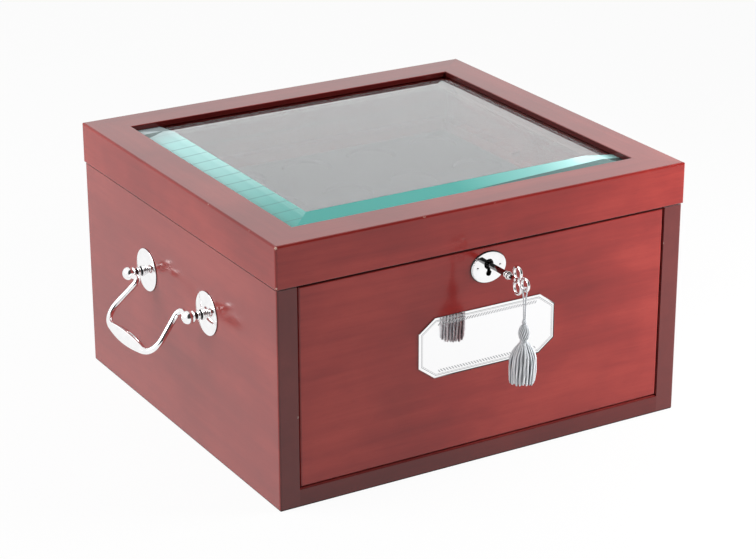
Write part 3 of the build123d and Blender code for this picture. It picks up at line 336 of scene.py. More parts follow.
# ------------------------------------------------------------------ shapes
class Shape:
    """Collects grids of points and makes one mesh object of them."""

    def __init__(self):
        self.points, self.faces, self.shades, self.count = [], [], [], 0

    def grid(self, points, closed=True, capped=True, shade=0.0):
        """Join each point of a grid, rings by sides, to its neighbours, and cap the end rings."""
        rings, sides = points.shape[:2]
        index = np.arange(rings * sides).reshape(rings, sides) + self.count
        here = index if closed else index[:, :-1]
        beside = np.roll(index, -1, axis=1) if closed else index[:, 1:]
        quads = np.stack([here[:-1], beside[:-1], beside[1:], here[1:]], axis=-1)
        self.faces += quads.reshape(-1, 4).tolist()
        if capped:
            self.faces += [index[0, ::-1].tolist(), index[-1].tolist()]
        self.points.append(points.reshape(-1, 3))
        self.shades.append(np.broadcast_to(shade, points.shape[:2]).reshape(-1))
        self.count += rings * sides
        return self

    def finish(self, name, material, body, replaced=(), slot=None, crease=35):
        """Make the object, with its normals outward, riding on its body in place of its nodes."""
        mesh = bpy.data.meshes.new(name)
        mesh.from_pydata(np.concatenate(self.points).tolist(), [], self.faces)
        shade = mesh.attributes.new("shade", "FLOAT", "POINT")
        shade.data.foreach_set("value", np.concatenate(self.shades).astype(np.float32))
        cleaner = bmesh.new()
        cleaner.from_mesh(mesh)
        bmesh.ops.remove_doubles(cleaner, verts=cleaner.verts, dist=1e-7)
        bmesh.ops.recalc_face_normals(cleaner, faces=cleaner.faces)
        cleaner.to_mesh(mesh)
        cleaner.free()
        mesh.shade_smooth()
        mesh.set_sharp_from_angle(angle=radians(crease))
        mesh.materials.append(material)
        piece = bpy.data.objects.new(name, mesh)
        bpy.context.scene.collection.objects.link(piece)
        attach(piece, body)
        if replaced:
            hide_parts(*replaced)
        return piece


def turned(profile, origin, axis, sides=64):
    """Spin a profile of distances and radii about an axis.

    A point is origin + distance * axis + radius * (cos(turn) * across + sin(turn) * other).
    """
    profile = np.asarray(profile, float)
    axis = np.asarray(axis, float)
    across = np.cross(axis, Z_AXIS if abs(axis[2]) < 0.9 else X_AXIS)
    across /= np.linalg.norm(across)
    other = np.cross(axis, across)
    turn = np.linspace(0, 2 * pi, sides, endpoint=False)
    round_about = np.cos(turn)[:, None] * across + np.sin(turn)[:, None] * other
    along = np.asarray(origin, float) + profile[:, :1] * axis
    return along[:, None, :] + profile[:, 1, None, None] * round_about


def arc(centre, radius, start, end, steps=10):
    """Points on a circle: centre + radius * (cos, sin) of turns from start to end, in degrees."""
    turn = np.radians(np.linspace(start, end, steps))
    return np.stack([centre[0] + radius * np.cos(turn), centre[1] + radius * np.sin(turn)], -1)


def bead(middle, half, radius, steps=9):
    """A round bead on a turned profile: distance middle + half*sin, radius less half + half*cos."""
    turn = np.linspace(-pi / 2, pi / 2, steps)
    return np.stack([middle + half * np.sin(turn), radius - half + half * np.cos(turn)], -1)


def rounded_route(points, radii, steps=14):
    """A flat route with its corners rounded: each corner is an arc tangent to both of its runs."""
    points = np.asarray(points, float)
    route = [points[:1]]
    for before, corner, after, radius in zip(points, points[1:], points[2:], radii):
        arriving = (corner - before) / np.linalg.norm(corner - before)
        leaving = (after - corner) / np.linalg.norm(after - corner)
        turn = np.arccos(np.clip(arriving @ leaving, -1, 1))
        side = leaving - arriving * (arriving @ leaving)
        side /= np.linalg.norm(side)
        start = corner - arriving * radius * tan(turn / 2)
        sweep = np.linspace(0, turn, steps)[:, None]
        route.append(start + radius * (np.sin(sweep) * arriving + (1 - np.cos(sweep)) * side))
    route.append(points[-1:])
    return np.concatenate(route)


def subdivided(route, spacing):
    """Put points on a route's runs so that none is longer than spacing."""
    pieces = []
    for start, end in zip(route, route[1:]):
        count = max(1, int(np.ceil(np.linalg.norm(end - start) / spacing)))
        pieces.append(start + (end - start) * np.arange(count)[:, None] / count)
    return np.concatenate([*pieces, route[-1:]])


def run_along(route):
    """The length along a route from its start to each of its points."""
    return np.concatenate([[0], np.cumsum(np.linalg.norm(np.diff(route, axis=0), axis=1))])


def headings(route):
    """The unit direction of a route at each of its points."""
    ahead = np.gradient(route, axis=0)
    return ahead / np.linalg.norm(ahead, axis=1)[:, None]


def piped(route, radius, turn, first, second):
    """Rings round a route: route + radius * (cos(turn) * first + sin(turn) * second)."""
    first, second = (np.broadcast_to(side, route.shape)[:, None] for side in (first, second))
    spread = np.cos(turn)[:, None] * first + np.sin(turn)[:, None] * second
    return route[:, None] + radius[..., None] * spread


def around(centre, radius, turn, height):
    """Points about an upright axis: centre + (radius * cos(turn), radius * sin(turn), height)."""
    return centre + np.stack([radius * np.cos(turn), radius * np.sin(turn), height + 0 * turn], -1)


def banded(outline, steps):
    """Stack an outline's insets: steps gives inset and height, and inset follows the normals."""
    ahead = np.roll(outline, -1, axis=0) - outline
    behind = outline - np.roll(outline, 1, axis=0)
    ahead = ahead / np.linalg.norm(ahead, axis=1)[:, None]
    behind = behind / np.linalg.norm(behind, axis=1)[:, None]
    normal = np.stack([-(ahead + behind)[:, 1], (ahead + behind)[:, 0]], -1)
    normal /= np.linalg.norm(normal, axis=1)[:, None]
    mitre = np.sum(normal * np.stack([-ahead[:, 1], ahead[:, 0]], -1), axis=1)
    steps = np.asarray(steps, float)
    flat = outline[None] + steps[:, :1, None] * (normal / mitre[:, None])[None]
    height = np.broadcast_to(steps[:, 1:, None], (*flat.shape[:2], 1))
    return np.concatenate([flat, height], axis=-1)


def rounded_rectangle(half_x, half_y, radius, steps=6):
    """An outline that goes round a rectangle with a quarter circle at each corner."""
    corners = [(1, 1, 0), (-1, 1, 90), (-1, -1, 180), (1, -1, 270)]
    return np.concatenate(
        [
            arc((sx * (half_x - radius), sy * (half_y - radius)), radius, start, start + 90, steps)
            for sx, sy, start in corners
        ]
    )


def stood(points, origin, across, up, out):
    """Carry points in x, y and height to a plane in space: across, up and out are its axes."""
    axes = np.array([across, up, out], float)
    return np.asarray(origin, float) + points @ axes


def soft_block(low, high, radius, edge_steps=5):
    """A block with rounded corners and a rounded rim, above and below."""
    low, high = np.asarray(low, float), np.asarray(high, float)
    half = (high - low) / 2
    rim = min(radius, half[2])
    turn = np.linspace(0, pi / 2, edge_steps)
    under = np.stack([rim * (1 - np.sin(turn)), -half[2] + rim * (1 - np.cos(turn))], -1)
    over = np.stack([rim * (1 - np.cos(turn)), half[2] - rim * (1 - np.sin(turn))], -1)
    outline = rounded_rectangle(half[0], half[1], min(2 * radius, half[0], half[1]) * 0.99)
    return banded(outline, np.concatenate([under, over])) + (low + high) / 2


def dressed(names, material):
    """Give CAD nodes a material, leaving their meshes as they are."""
    for name in names:
        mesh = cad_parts[name].data
        mesh.materials.clear()
        mesh.materials.append(material)


def corners(node):
    """The lowest and highest corner of a CAD node."""
    low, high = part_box(node)
    return np.array(low), np.array(high)


# ------------------------------------------------------------------ materials
def drawn_out(grain, squeeze):
    """Scales that draw a pattern out along the grain."""
    return [squeeze if axis == grain else 1.0 for axis in range(3)]


def cherry(name, grain, chips=(), painted_shade_bands=(), inside=None, hole=None, bloom=0.3, figure=1.0):
    """Lacquered cherry: bands, fine grain and clouds of noise drawn out along the grain.

    All lengths are in millimetres. A chip is (x, y, z, size) and bares the wood. A band of
    painted shade is (axis, limit, sign, depth) and darkens what lies past a limit. What lies
    within the half widths of inside gets painted shade too, and a keyhole's surroundings at
    hole are painted black as shade inside the hole. Bloom is the share of the lacquer's pale
    haze. Figure is the contrast of the grain.
    """
    look = bpy.context.scene.coin_case_timber
    finish = Finish(name)
    place = finish.place()
    drawn = drawn_out(grain, 0.055)
    sway = place.noise(5.0, 2.0, output="Color").scaled((0.010,) * 3)
    lines = place.scaled(drawn).plus(sway)
    bands = lines.noise(62.0, 4.0, 0.60)
    fine_grain = lines.noise(520.0, 3.0, 0.65)
    clouds = place.scaled((1.0, 1.0, 1.5)).noise(11.0, 3.0, 0.55)
    tone = bands * 0.40 + fine_grain * 0.12 + clouds * 0.50
    centre, spread = 0.51, 0.17 / figure
    wood = tone.ramp(
        (centre - spread, look.dark), (centre, look.middle), (centre + spread, look.light)
    )
    pores = place.scaled(drawn).noise(2600.0, 1.0).step(0.62, 0.74)
    wood = (pores * 0.35).mix(wood, look.dark)
    for *spot, size in chips:
        ragged = place.noise(900.0, 2.0, output="Color").scaled((0.0022,) * 3, (-0.0011,) * 3)
        reach = place.plus([-v * MM for v in spot]).plus(ragged).reach()
        wood = (1 - reach.step(size * 0.55 * MM, size * MM)).mix(wood, look.chip)
    # Painted shade: near black round the keyhole, for the shade inside it.
    if hole is not None:
        reach = place.plus([-v * MM for v in hole]).reach()
        wood = (1 - reach.step(9.0 * MM, 10.0 * MM)).mix(wood, look.keyhole)
    # Painted shade: dark bands past a limit, for the shadow in the gaps by the lid and on the front
    # faces.
    for axis, limit, sign, depth in painted_shade_bands:
        beyond = (place.part(axis) * (sign / MM) - limit * sign).step(0.0, 0.3)
        wood = (beyond * depth).mix(wood, look.painted_shade)
    # Painted shade on the rebate faces round the lid's opening.
    if inside is not None:
        across, along = (
            (place.part(axis) / MM).band(0.0, half, 0.25) for axis, half in enumerate(inside)
        )
        wood = (across * along * 0.8).mix(wood, look.painted_shade)
    finish.set(
        Base_Color=wood,
        Roughness=bands * 0.10 + 0.40,
        Specular_IOR_Level=0.0,
        Coat_Weight=look.lacquer,
        Coat_Roughness=look.lacquer_haze,
        Sheen_Weight=look.bloom * bloom,
        Sheen_Roughness=0.45,
        Normal=(fine_grain * 0.5 - pores * 0.6).bump(0.05, 0.0002),
    )
    return finish.material


def stained(name, grain):
    """Plain stained wood for the inside of the case."""
    look = bpy.context.scene.coin_case_timber
    finish = Finish(name)
    lines = finish.place().scaled(drawn_out(grain, 0.05))
    tone = lines.noise(70.0, 4.0, 0.6) * 0.6 + lines.noise(900.0, 2.0) * 0.4
    finish.set(
        Base_Color=tone.ramp((0.35, look.inner_dark), (0.68, look.inner_light)),
        Roughness=tone * 0.2 + 0.45,
        Normal=tone.bump(0.12, 0.0003),
    )
    return finish.material


def polished(name, haze=None, painted_dark_bands=()):
    """Polished nickel with faint buffing in its gloss, and bands painted dark as painted
    reflection.

    A painted dark band is (axis, middle, half width, darkness), in millimetres, and is on both
    sides of the object's middle. The bands paint dark reflections in grooves, at rims and on a
    shank.
    """
    look = bpy.context.scene.coin_case_metal
    finish = Finish(name, Metallic=1.0)
    place = finish.place()
    buffing = place.noise(140.0, 3.0)
    metal = buffing.ramp((0.3, [0.94 * v for v in look.nickel]), (0.7, look.nickel))
    # Painted dark reflection: bands of the base colour turned dark.
    for axis, middle, half, darkness in painted_dark_bands:
        painted_dark_band = (abs(place.part(axis)) / MM).band(middle, half, 0.25)
        metal = (painted_dark_band * darkness).mix(metal, look.painted_dark_reflection)
    finish.set(
        Base_Color=metal,
        Roughness=buffing * 0.05 + (look.nickel_haze if haze is None else haze) - 0.02,
    )
    return finish.material


def brushed(name, grain):
    """Brushed steel: fine scratches along one axis, in its gloss and its relief."""
    look = bpy.context.scene.coin_case_metal
    finish = Finish(name, Metallic=1.0)
    scratches = finish.place().scaled(drawn_out(grain, 0.03)).noise(2400.0, 2.0)
    finish.set(
        Base_Color=scratches.ramp((0.3, [0.8 * v for v in look.steel]), (0.7, look.steel)),
        Roughness=scratches * 0.20 + 0.22,
        Normal=scratches.bump(0.15, 0.0001),
    )
    return finish.material


def pile(name, tone, sheen):
    """Velvet or felt: a dark short pile that lights up at a glance."""
    finish = Finish(
        name, Roughness=0.95, Specular_IOR_Level=0.0, Sheen_Weight=sheen, Sheen_Roughness=0.35
    )
    place = finish.place()
    nap, rubbed = place.noise(2600.0, 2.0), place.noise(26.0, 3.0)
    tint = (nap * 0.5 + rubbed * 0.5).ramp((0.3, [0.5 * v for v in tone]), (0.75, tone))
    finish.set(Base_Color=tint, Normal=nap.bump(0.5, 0.0003))
    return finish.material


def yarn(name):
    """Silver viscose yarn: painted shade runs from the grooves of the plies to their lit crowns."""
    look = bpy.context.scene.coin_case_tassel
    finish = Finish(name, Sheen_Weight=0.25, Sheen_Roughness=0.4)
    shade = finish.attribute("shade")
    fibres = finish.place().scaled((1.0, 1.0, 0.25)).noise(5200.0, 2.0)
    tone = shade * 0.82 + fibres * 0.30 - 0.06
    finish.set(
        Base_Color=tone.ramp((0.10, look.dark), (0.62, look.light), (0.95, look.crown)),
        Roughness=0.62 - shade * 0.14,
        Normal=fibres.bump(0.35, 0.0002),
    )
    return finish.material


def plate_glass(name):
    """Clear plate whose two near bevels carry painted light: its green edge, paler towards their
    far ends.

    The bevels run along the left and front edges and meet at a mitre. Thin painted dark lines
    cross the left one. The lid's opening is painted as a dark reflection: a wedge at the left
    bevel's far end, and a strip along the outer side of the front one.
    """
    look = bpy.context.scene.coin_case_glass
    finish = Finish(name, IOR=1.45, Transmission_Weight=1.0, Roughness=0.0, Base_Color=look.tint)
    low, high = corners("glass_panel")
    width, soft, mitre = 30.0 * MM, 0.4 * MM, 0.1 * MM
    place = finish.place()
    x, y, z = place.part(0), place.part(1), place.part(2)
    from_left, from_front = x - low[0], y - low[1]
    left = (1 - from_left.step(width - soft, width)) * (from_front - from_left).step(-mitre, mitre)
    front = 1 - from_front.step(width - soft, width)
    front = front * (from_left - from_front).step(-mitre, mitre)
    run_left = from_front / (high[1] - low[1])
    run_front = from_left / (high[0] - low[0])

    def shade(part):
        """Mix the bevel's green with its glare."""
        return [green + (pale - green) * part for green, pale in zip(look.bevel, look.glare)]

    # Painted light: the green and glare along each near bevel, paler towards its far end.
    edge = left.mix(
        run_front.ramp((0.5, shade(0.0)), (0.75, shade(0.4)), (0.88, shade(1.0))),
        run_left.ramp(
            (0.0, shade(0.0)),
            (0.2, shade(0.15)),
            (0.55, shade(0.65)),
            (0.8, shade(0.85)),
            (0.94, look.far_end),
        ),
    )
    spaced = (run_left * 15.0 + from_left * (0.35 / width)).math("FRACT")
    lines = left * spaced.band(0.5, 0.02, 0.04) * (1 - run_left.step(0.75, 0.95))
    # Painted reflection: the lid's opening as a dark wedge on the left bevel and a dark strip on
    # the front one.
    opening_left, opening_front, wedge_length = -140.6, -124.0, 15.0
    depth = 1 - (x / MM - opening_left).step(0.0, wedge_length)
    wedge = left * run_left.band(0.915, depth * 0.014, 0.004) * depth.step(0.0, 0.1)
    sunk = (run_front - 0.5) * 16.0
    strip = run_front.step(0.5, 0.6) * front
    strip = strip * (1 - (y / MM - opening_front).step(sunk, sunk + 0.8))
    edge = (lines * 0.35 + wedge * 0.9).larger(strip * 0.9).mix(edge, look.shadow)
    values = {"Base Color": edge, "Roughness": 0.08, "IOR": 1.35}
    # Painted light: a second shader carries the bevels' painted colours over the clear glass.
    painted_bevel_light = finish.flow.node("ShaderNodeBsdfPrincipled", None, values)
    upper = (z - low[2]).step(1.0 * MM, 1.6 * MM)
    finish.covered((left + front).smaller(1.0) * upper * 0.86, painted_bevel_light)
    return finish.material


# ------------------------------------------------------------------ operators
class COINCASE_OT_stage(bpy.types.Operator):
    """Make the camera, the lamps, the surroundings and the pale floor"""

    bl_idname = "coincase.stage"
    bl_label = "Studio"

    camera_place = (-0.88569, -1.50243, 0.78182)
    camera_turn = (30.561, 21.669, -0.076)  # to the right, down, and about the line of sight
    dark_side = (0.25, -0.90, 0.35)  # heading of the darkest part of the room
    floor_half = 6.0

    def execute(self, context):
        look = context.scene.coin_case_studio
        context.scene.view_settings.view_transform = "Standard"
        self.camera(look, context.scene)
        self.surroundings(look, context.scene)
        self.lamps(look, context.scene)
        self.floor(look, context.scene)
        return {"FINISHED"}

    def camera(self, look, scene):
        """The camera at the photograph's viewing angle."""
        camera = bpy.data.objects.new("camera", bpy.data.cameras.new("camera"))
        camera.data.lens = look.lens
        camera.data.sensor_width = 36.0
        yaw, pitch, roll = (radians(angle) for angle in self.camera_turn)
        ahead = Vector((sin(yaw) * cos(pitch), cos(yaw) * cos(pitch), -sin(pitch)))
        turn = ahead.to_track_quat("-Z", "Y").to_matrix().to_4x4()
        place = Matrix.Translation(self.camera_place)
        camera.matrix_world = place @ turn @ Matrix.Rotation(roll, 4, "Z")
        scene.collection.objects.link(camera)
        scene.camera = camera

    def surroundings(self, look, scene):
        """A dim even light, which the camera, metal and glass see as white.

        What is mirrored also holds the dark part of the room, on the camera's side, out of the
        camera's sight.
        """
        world = bpy.data.worlds.new("surroundings")
        scene.world = world
        world.use_nodes = True
        flow = Flow(world.node_tree)
        seen, mirrored, through = rays(flow)
        heading = flow.node("ShaderNodeTexCoord", None, None, "Generated")
        room = 1 - heading.dot(self.dark_side).step(0.45, 0.62) * look.dark_room
        strength = look.surroundings + seen.larger(through) * (1 - look.surroundings)
        strength = strength + mirrored * (room - look.surroundings)
        background = world.node_tree.nodes["Background"]
        flow.connect(background.inputs["Color"], (1.0, 1.0, 1.0))
        flow.connect(background.inputs["Strength"], strength)

    def lamps(self, look, scene):
        """Soft lamps aimed at the case: their power in watts, width, place and glare."""
        target = Vector((0, 0, 0.1))
        for name, power, width, spot, glare in (
            ("key_lamp", look.key_power, 1.1, (-1.3, 0.35, 0.95), True),
            ("fill_lamp", look.fill_power, 0.36, (0.52, -0.39, 0.34), False),
            ("back_lamp", look.back_power, 2.4, (1.3, 2.2, 1.25), True),
        ):
            lamp = bpy.data.lights.new(name, "AREA")
            lamp.energy = power
            lamp.size = width
            holder = bpy.data.objects.new(name, lamp)
            holder.location = spot
            holder.rotation_euler = (target - Vector(spot)).to_track_quat("-Z", "Y").to_euler()
            holder.visible_glossy = glare
            holder.visible_transmission = glare
            scene.collection.objects.link(holder)

    def floor(self, look, scene):
        """A pale floor that keeps the case's shadow and is otherwise seen as nearly white."""
        paper = Finish("pale_floor", Base_Color=(0.80, 0.80, 0.80), Roughness=0.7)
        seen, mirrored, through = rays(paper.flow)
        white = paper.flow.node("ShaderNodeEmission", None, {"Color": (1.0, 1.0, 1.0)})
        paper.covered(seen.larger(through).larger(mirrored) * look.floor_white, white)
        half = self.floor_half
        points = [(-half, -half, 0), (half, -half, 0), (half, half, 0), (-half, half, 0)]
        mesh = bpy.data.meshes.new("floor")
        mesh.from_pydata(points, [], [(0, 1, 2, 3)])
        mesh.materials.append(paper.material)
        ground = bpy.data.objects.new("floor", mesh)
        scene.collection.objects.link(ground)


class COINCASE_OT_tassel(bpy.types.Operator):
    """Make the tassel's twisted cord, its knot, its head and its skirt of yarns"""

    bl_idname = "coincase.tassel"
    bl_label = "Tassel"

    # Heights in millimetres, from the cord down to the hem
    knot_top, head_top, neck, hem = 129.0, 125.0, 111.9, 80.4

    def execute(self, context):
        look = context.scene.coin_case_tassel
        silver = yarn("silver_yarn")
        middle_y = -0.2074
        path = subdivided(self.cord_path(context, middle_y), 0.25 * MM)
        turn = np.linspace(0, 2 * pi, 24, endpoint=False)
        plies = np.abs(np.cos(turn - run_along(path)[:, None] * 2 * pi / (2.6 * MM)))
        radius = 0.6 * MM * (0.68 + 0.32 * plies**0.8)
        aside = np.cross(headings(path), Y_AXIS)
        # Painted shade: the shade attribute is dark in the grooves between the cord's plies.
        cord = Shape().grid(piped(path, radius, turn, Y_AXIS, aside), shade=plies).finish(
            "cord_twisted", silver, "tassel", ["tassel_cord"], "silver_yarn"
        )

        centre = np.array([0.0, middle_y, 0.0])
        knot = self.knot(centre).finish(
            "cord_knot", silver, "tassel", ["tassel_knot"], "silver_yarn"
        )
        head = self.head(centre).finish(
            "tassel_wrapped_head", silver, "tassel", ["tassel_head"], "silver_yarn"
        )
        skirt = self.skirt(look, centre).finish(
            "tassel_yarns", silver, "tassel", ["tassel_skirt"], "silver_yarn"
        )
        return {"FINISHED"}

    def cord_path(self, context, middle_y):
        """The cord's middle line: a smooth curve up one leg, through the bow, down the other."""
        leg = [(0.7, self.knot_top), (0.7, 137.4), (1.0, 145.5), (2.1, 151.3), (2.1, 153.4)]
        route = [(-x, z) for x, z in leg] + leg[::-1]
        line = bpy.data.curves.new("cord_route", "CURVE")
        line.dimensions = "3D"
        line.resolution_u = 12
        spline = line.splines.new("NURBS")
        spline.points.add(len(route) - 1)
        for point, (x, z) in zip(spline.points, route):
            point.co = (x * MM, middle_y, z * MM, 1.0)
        spline.order_u = 3
        spline.use_endpoint_u = True
        helper = bpy.data.objects.new("cord_route", line)
        context.scene.collection.objects.link(helper)
        context.view_layer.update()
        mesh = bpy.data.meshes.new_from_object(helper)
        path = np.empty(len(mesh.vertices) * 3)
        mesh.vertices.foreach_get("co", path)
        bpy.data.objects.remove(helper)
        bpy.data.meshes.remove(mesh)
        return path.reshape(-1, 3)

    def knot(self, centre):
        """A bead of wound yarn: its radius carries slanting ridges, |cos(5*turn + rise)|."""
        part = np.linspace(0, 1, 40)[:, None]
        turn = np.linspace(0, 2 * pi, 72, endpoint=False)[None]
        ridge = np.abs(np.cos(5 * turn + 1.5 * 2 * pi * part))
        ends = np.sqrt(np.clip(1 - (2 * part - 1) ** 8, 0, 1))
        radius = (1.25 + 0.62 * np.sin(pi * part)) * ends * (0.86 + 0.14 * ridge) * MM
        height = (self.head_top + (self.knot_top - self.head_top) * part) * MM
        # Painted shade: the shade attribute is light on the ridges and dark between them.
        return Shape().grid(around(centre, radius, turn, height), shade=ridge * 0.8 + 0.1)

    def head(self, centre):
        """Yarns drawn over a dome, then three turns of binding at the neck.

        The dome's radius carries eight swaying pairs of ribs, |cos(8*turn + lean)|.
        """
        part = np.linspace(0, 1, 60)[:, None]
        turn = np.linspace(0, 2 * pi, 144, endpoint=False)[None]
        dome = 1.4 + 2.85 * np.sin(pi * part**1.05) ** 0.62 + 1.0 * part**5
        rib = np.abs(np.cos(8 * turn + 2.6 * pi * part + 0.6 * np.sin(2 * turn)))
        radius = dome * (0.87 + 0.13 * rib**0.7) * MM
        height = (self.head_top - 11.6 * part) * MM
        # Painted shade: the shade attribute is dark between the ribs.
        shape = Shape().grid(around(centre, radius, turn, height), shade=rib**1.6 * 0.95)
        loop = np.linspace(0, 2 * pi, 96, endpoint=False)
        out = np.stack([np.cos(loop), np.sin(loop), 0 * loop], -1)
        section = np.linspace(0, 2 * pi, 12, endpoint=False)
        ply = np.abs(np.cos(section + 12 * loop[:, None]))
        thick = 0.42 * MM * (0.8 + 0.2 * ply)
        for number in range(3):
            route = around(centre, 2.62 * MM, loop, (113.1 - 0.68 * number) * MM)
            ring = piped(route, thick, section, out, Z_AXIS)
            ring, shade = (np.concatenate([rows, rows[:1]]) for rows in (ring, ply))
            # Painted shade: the binding's shade attribute is dark in the grooves of its plies.
            shape.grid(ring, capped=False, shade=shade)
        return shape

    def skirt(self, look, centre):
        """Hanging yarns: each leaves the neck, spreads and hangs, its plies twisted round it.

        With t from 0 at the neck to 1 at the hem, the distance from the axis is near +
        (reach - near) * sin(90 degrees * min(t / 0.46, 1))**0.95, drawn in a little towards the
        hem. The yarn's radius is its own times 0.84 + 0.16 * |cos(turn + twist)|.
        """
        rng = np.random.default_rng(7)
        shape = Shape()
        t = np.linspace(0, 1, 64)
        turn = np.linspace(0, 2 * pi, 16, endpoint=False)
        # Painted shade: outer is 1 on a yarn's outward face and 0 on faces turned sideways and
        # inward, for the shade between yarns.
        outer = np.clip(-np.cos(turn), 0, 1)
        grow = 0.52 + 0.48 * np.clip(t / 0.3, 0, 1)
        grow = grow - 0.30 * np.clip((t - 0.97) / 0.03, 0, 1)
        for ring, (count, spread, drop) in enumerate(
            ((look.yarns, 8.75, 0.0), (16, 6.6, 0.6), (9, 3.6, 1.0))
        ):
            near = 2.1 - 0.6 * ring
            for start in (np.arange(count) + 0.5 * ring) * 2 * pi / count:
                lean = start + rng.normal(0, 0.03) + rng.normal(0, 0.05) * t**2
                reach = spread * (1 + rng.normal(0, 0.02))
                out = near + (reach - near) * np.sin(pi / 2 * np.clip(t / 0.46, 0, 1)) ** 0.95
                out = (out - 0.5 * np.clip((t - 0.6) / 0.4, 0, 1) ** 2) * MM
                end = self.hem + drop + abs(rng.normal(0, 0.7))
                z = (self.neck + (end - self.neck) * t) * MM
                wave = 0.16 * MM * np.sin(t * (7 + rng.uniform(-2, 2)) + rng.uniform(0, 6))
                sway = -1.1 * MM * t**1.4
                route = around(centre, out + wave, lean, z)
                route[:, 0] += sway
                beside = np.stack([-np.sin(lean), np.cos(lean), 0 * lean], -1)
                normal = np.cross(beside, headings(route))
                twist = z[:, None] * pi / look.ply_turn
                ply = np.abs(np.cos(turn + twist + rng.uniform(0, pi)))
                thick = look.yarn_radius * grow[:, None] * (0.84 + 0.16 * ply)
                # Painted shade: tone is lighter on ply crowns and outward faces, darker in ply
                # grooves and between yarns, with a random tone for each yarn.
                tone = np.clip((ply * 0.55 + 0.45) * outer + rng.normal(0, 0.14), 0, 1)
                shape.grid(piped(route, thick, turn, normal, beside), shade=tone)
        return shape


class COINCASE_OT_timber(bpy.types.Operator):
    """Lacquer the outside in cherry and stain the wood inside"""

    bl_idname = "coincase.timber"
    bl_label = "Timber"

    def execute(self, context):
        # Painted shade: front_edge darkens the front faces of the sides and bottom board, and the
        # three gap bands paint the shadow in the gap between lid and case.
        front_edge = (1, -159.3, -1, 0.66)
        gap_over_sides = (2, 169.9, 1, 0.85)
        gap_over_front = (2, 168.4, 1, 0.9)
        gap_under_lid = (2, 171.1, -1, 0.85)
        side_chips = [(158.3, -160.0, 141.0, 0.9), (-158.4, -160.0, 71.0, 0.9)]
        corner_chips = [(-174.9, -160.9, 202.4, 2.0), (-174.8, -160.9, 172.4, 1.1)]
        front_chips = [*corner_chips, (-55.3, -161.0, 202.8, 1.0), (3.9, -161.0, 202.8, 0.8)]
        left_chips = [*corner_chips, (-175.0, -59.0, 202.8, 0.8), (-175.0, -122.2, 202.8, 0.9)]
        # Painted shade: opening holds the half widths of the lid's opening, whose rebate faces are
        # painted dark.
        opening = (145.75, 131.75)
        across = cherry("cherry_along_x", 0)
        # Painted shade: hole is where the wood round the keyhole is painted black.
        front = cherry("cherry_front", 0, painted_shade_bands=[gap_over_front], hole=(0, -154, 153))
        bottom = cherry("cherry_bottom", 0, painted_shade_bands=[front_edge])
        painted_shade_bands = [front_edge, gap_over_sides]
        sides = cherry("cherry_along_y", 1, side_chips, painted_shade_bands, bloom=1.0, figure=0.6)
        lid_x = cherry("cherry_lid_x", 0, front_chips, [gap_under_lid], opening)
        lid_y = cherry("cherry_lid_y", 1, left_chips, [gap_under_lid], opening)
        beads = cherry("cherry_beads", 0)
        inner_x, inner_y = stained("stained_along_x", 0), stained("stained_along_y", 1)
        for material, nodes in (
            (across, ["back_panel", "inner_front_rail", "display_tray"]),
            (front, ["drawer_front"]),
            (bottom, ["bottom_board"]),
            (sides, ["side_left", "side_right"]),
            (lid_x, ["lid_rail_front", "lid_rail_back"]),
            (lid_y, ["lid_rail_left", "lid_rail_right"]),
            (beads, ["glass_beads"]),
            (inner_x, ["mid_shelf", "drawer_subfront", "drawer_back", "drawer_stops"]),
            (
                inner_y,
                ["drawer_side_left", "drawer_side_right", "drawer_runners", "drawer_bottom"],
            ),
        ):
            dressed(nodes, material)
        return {"FINISHED"}


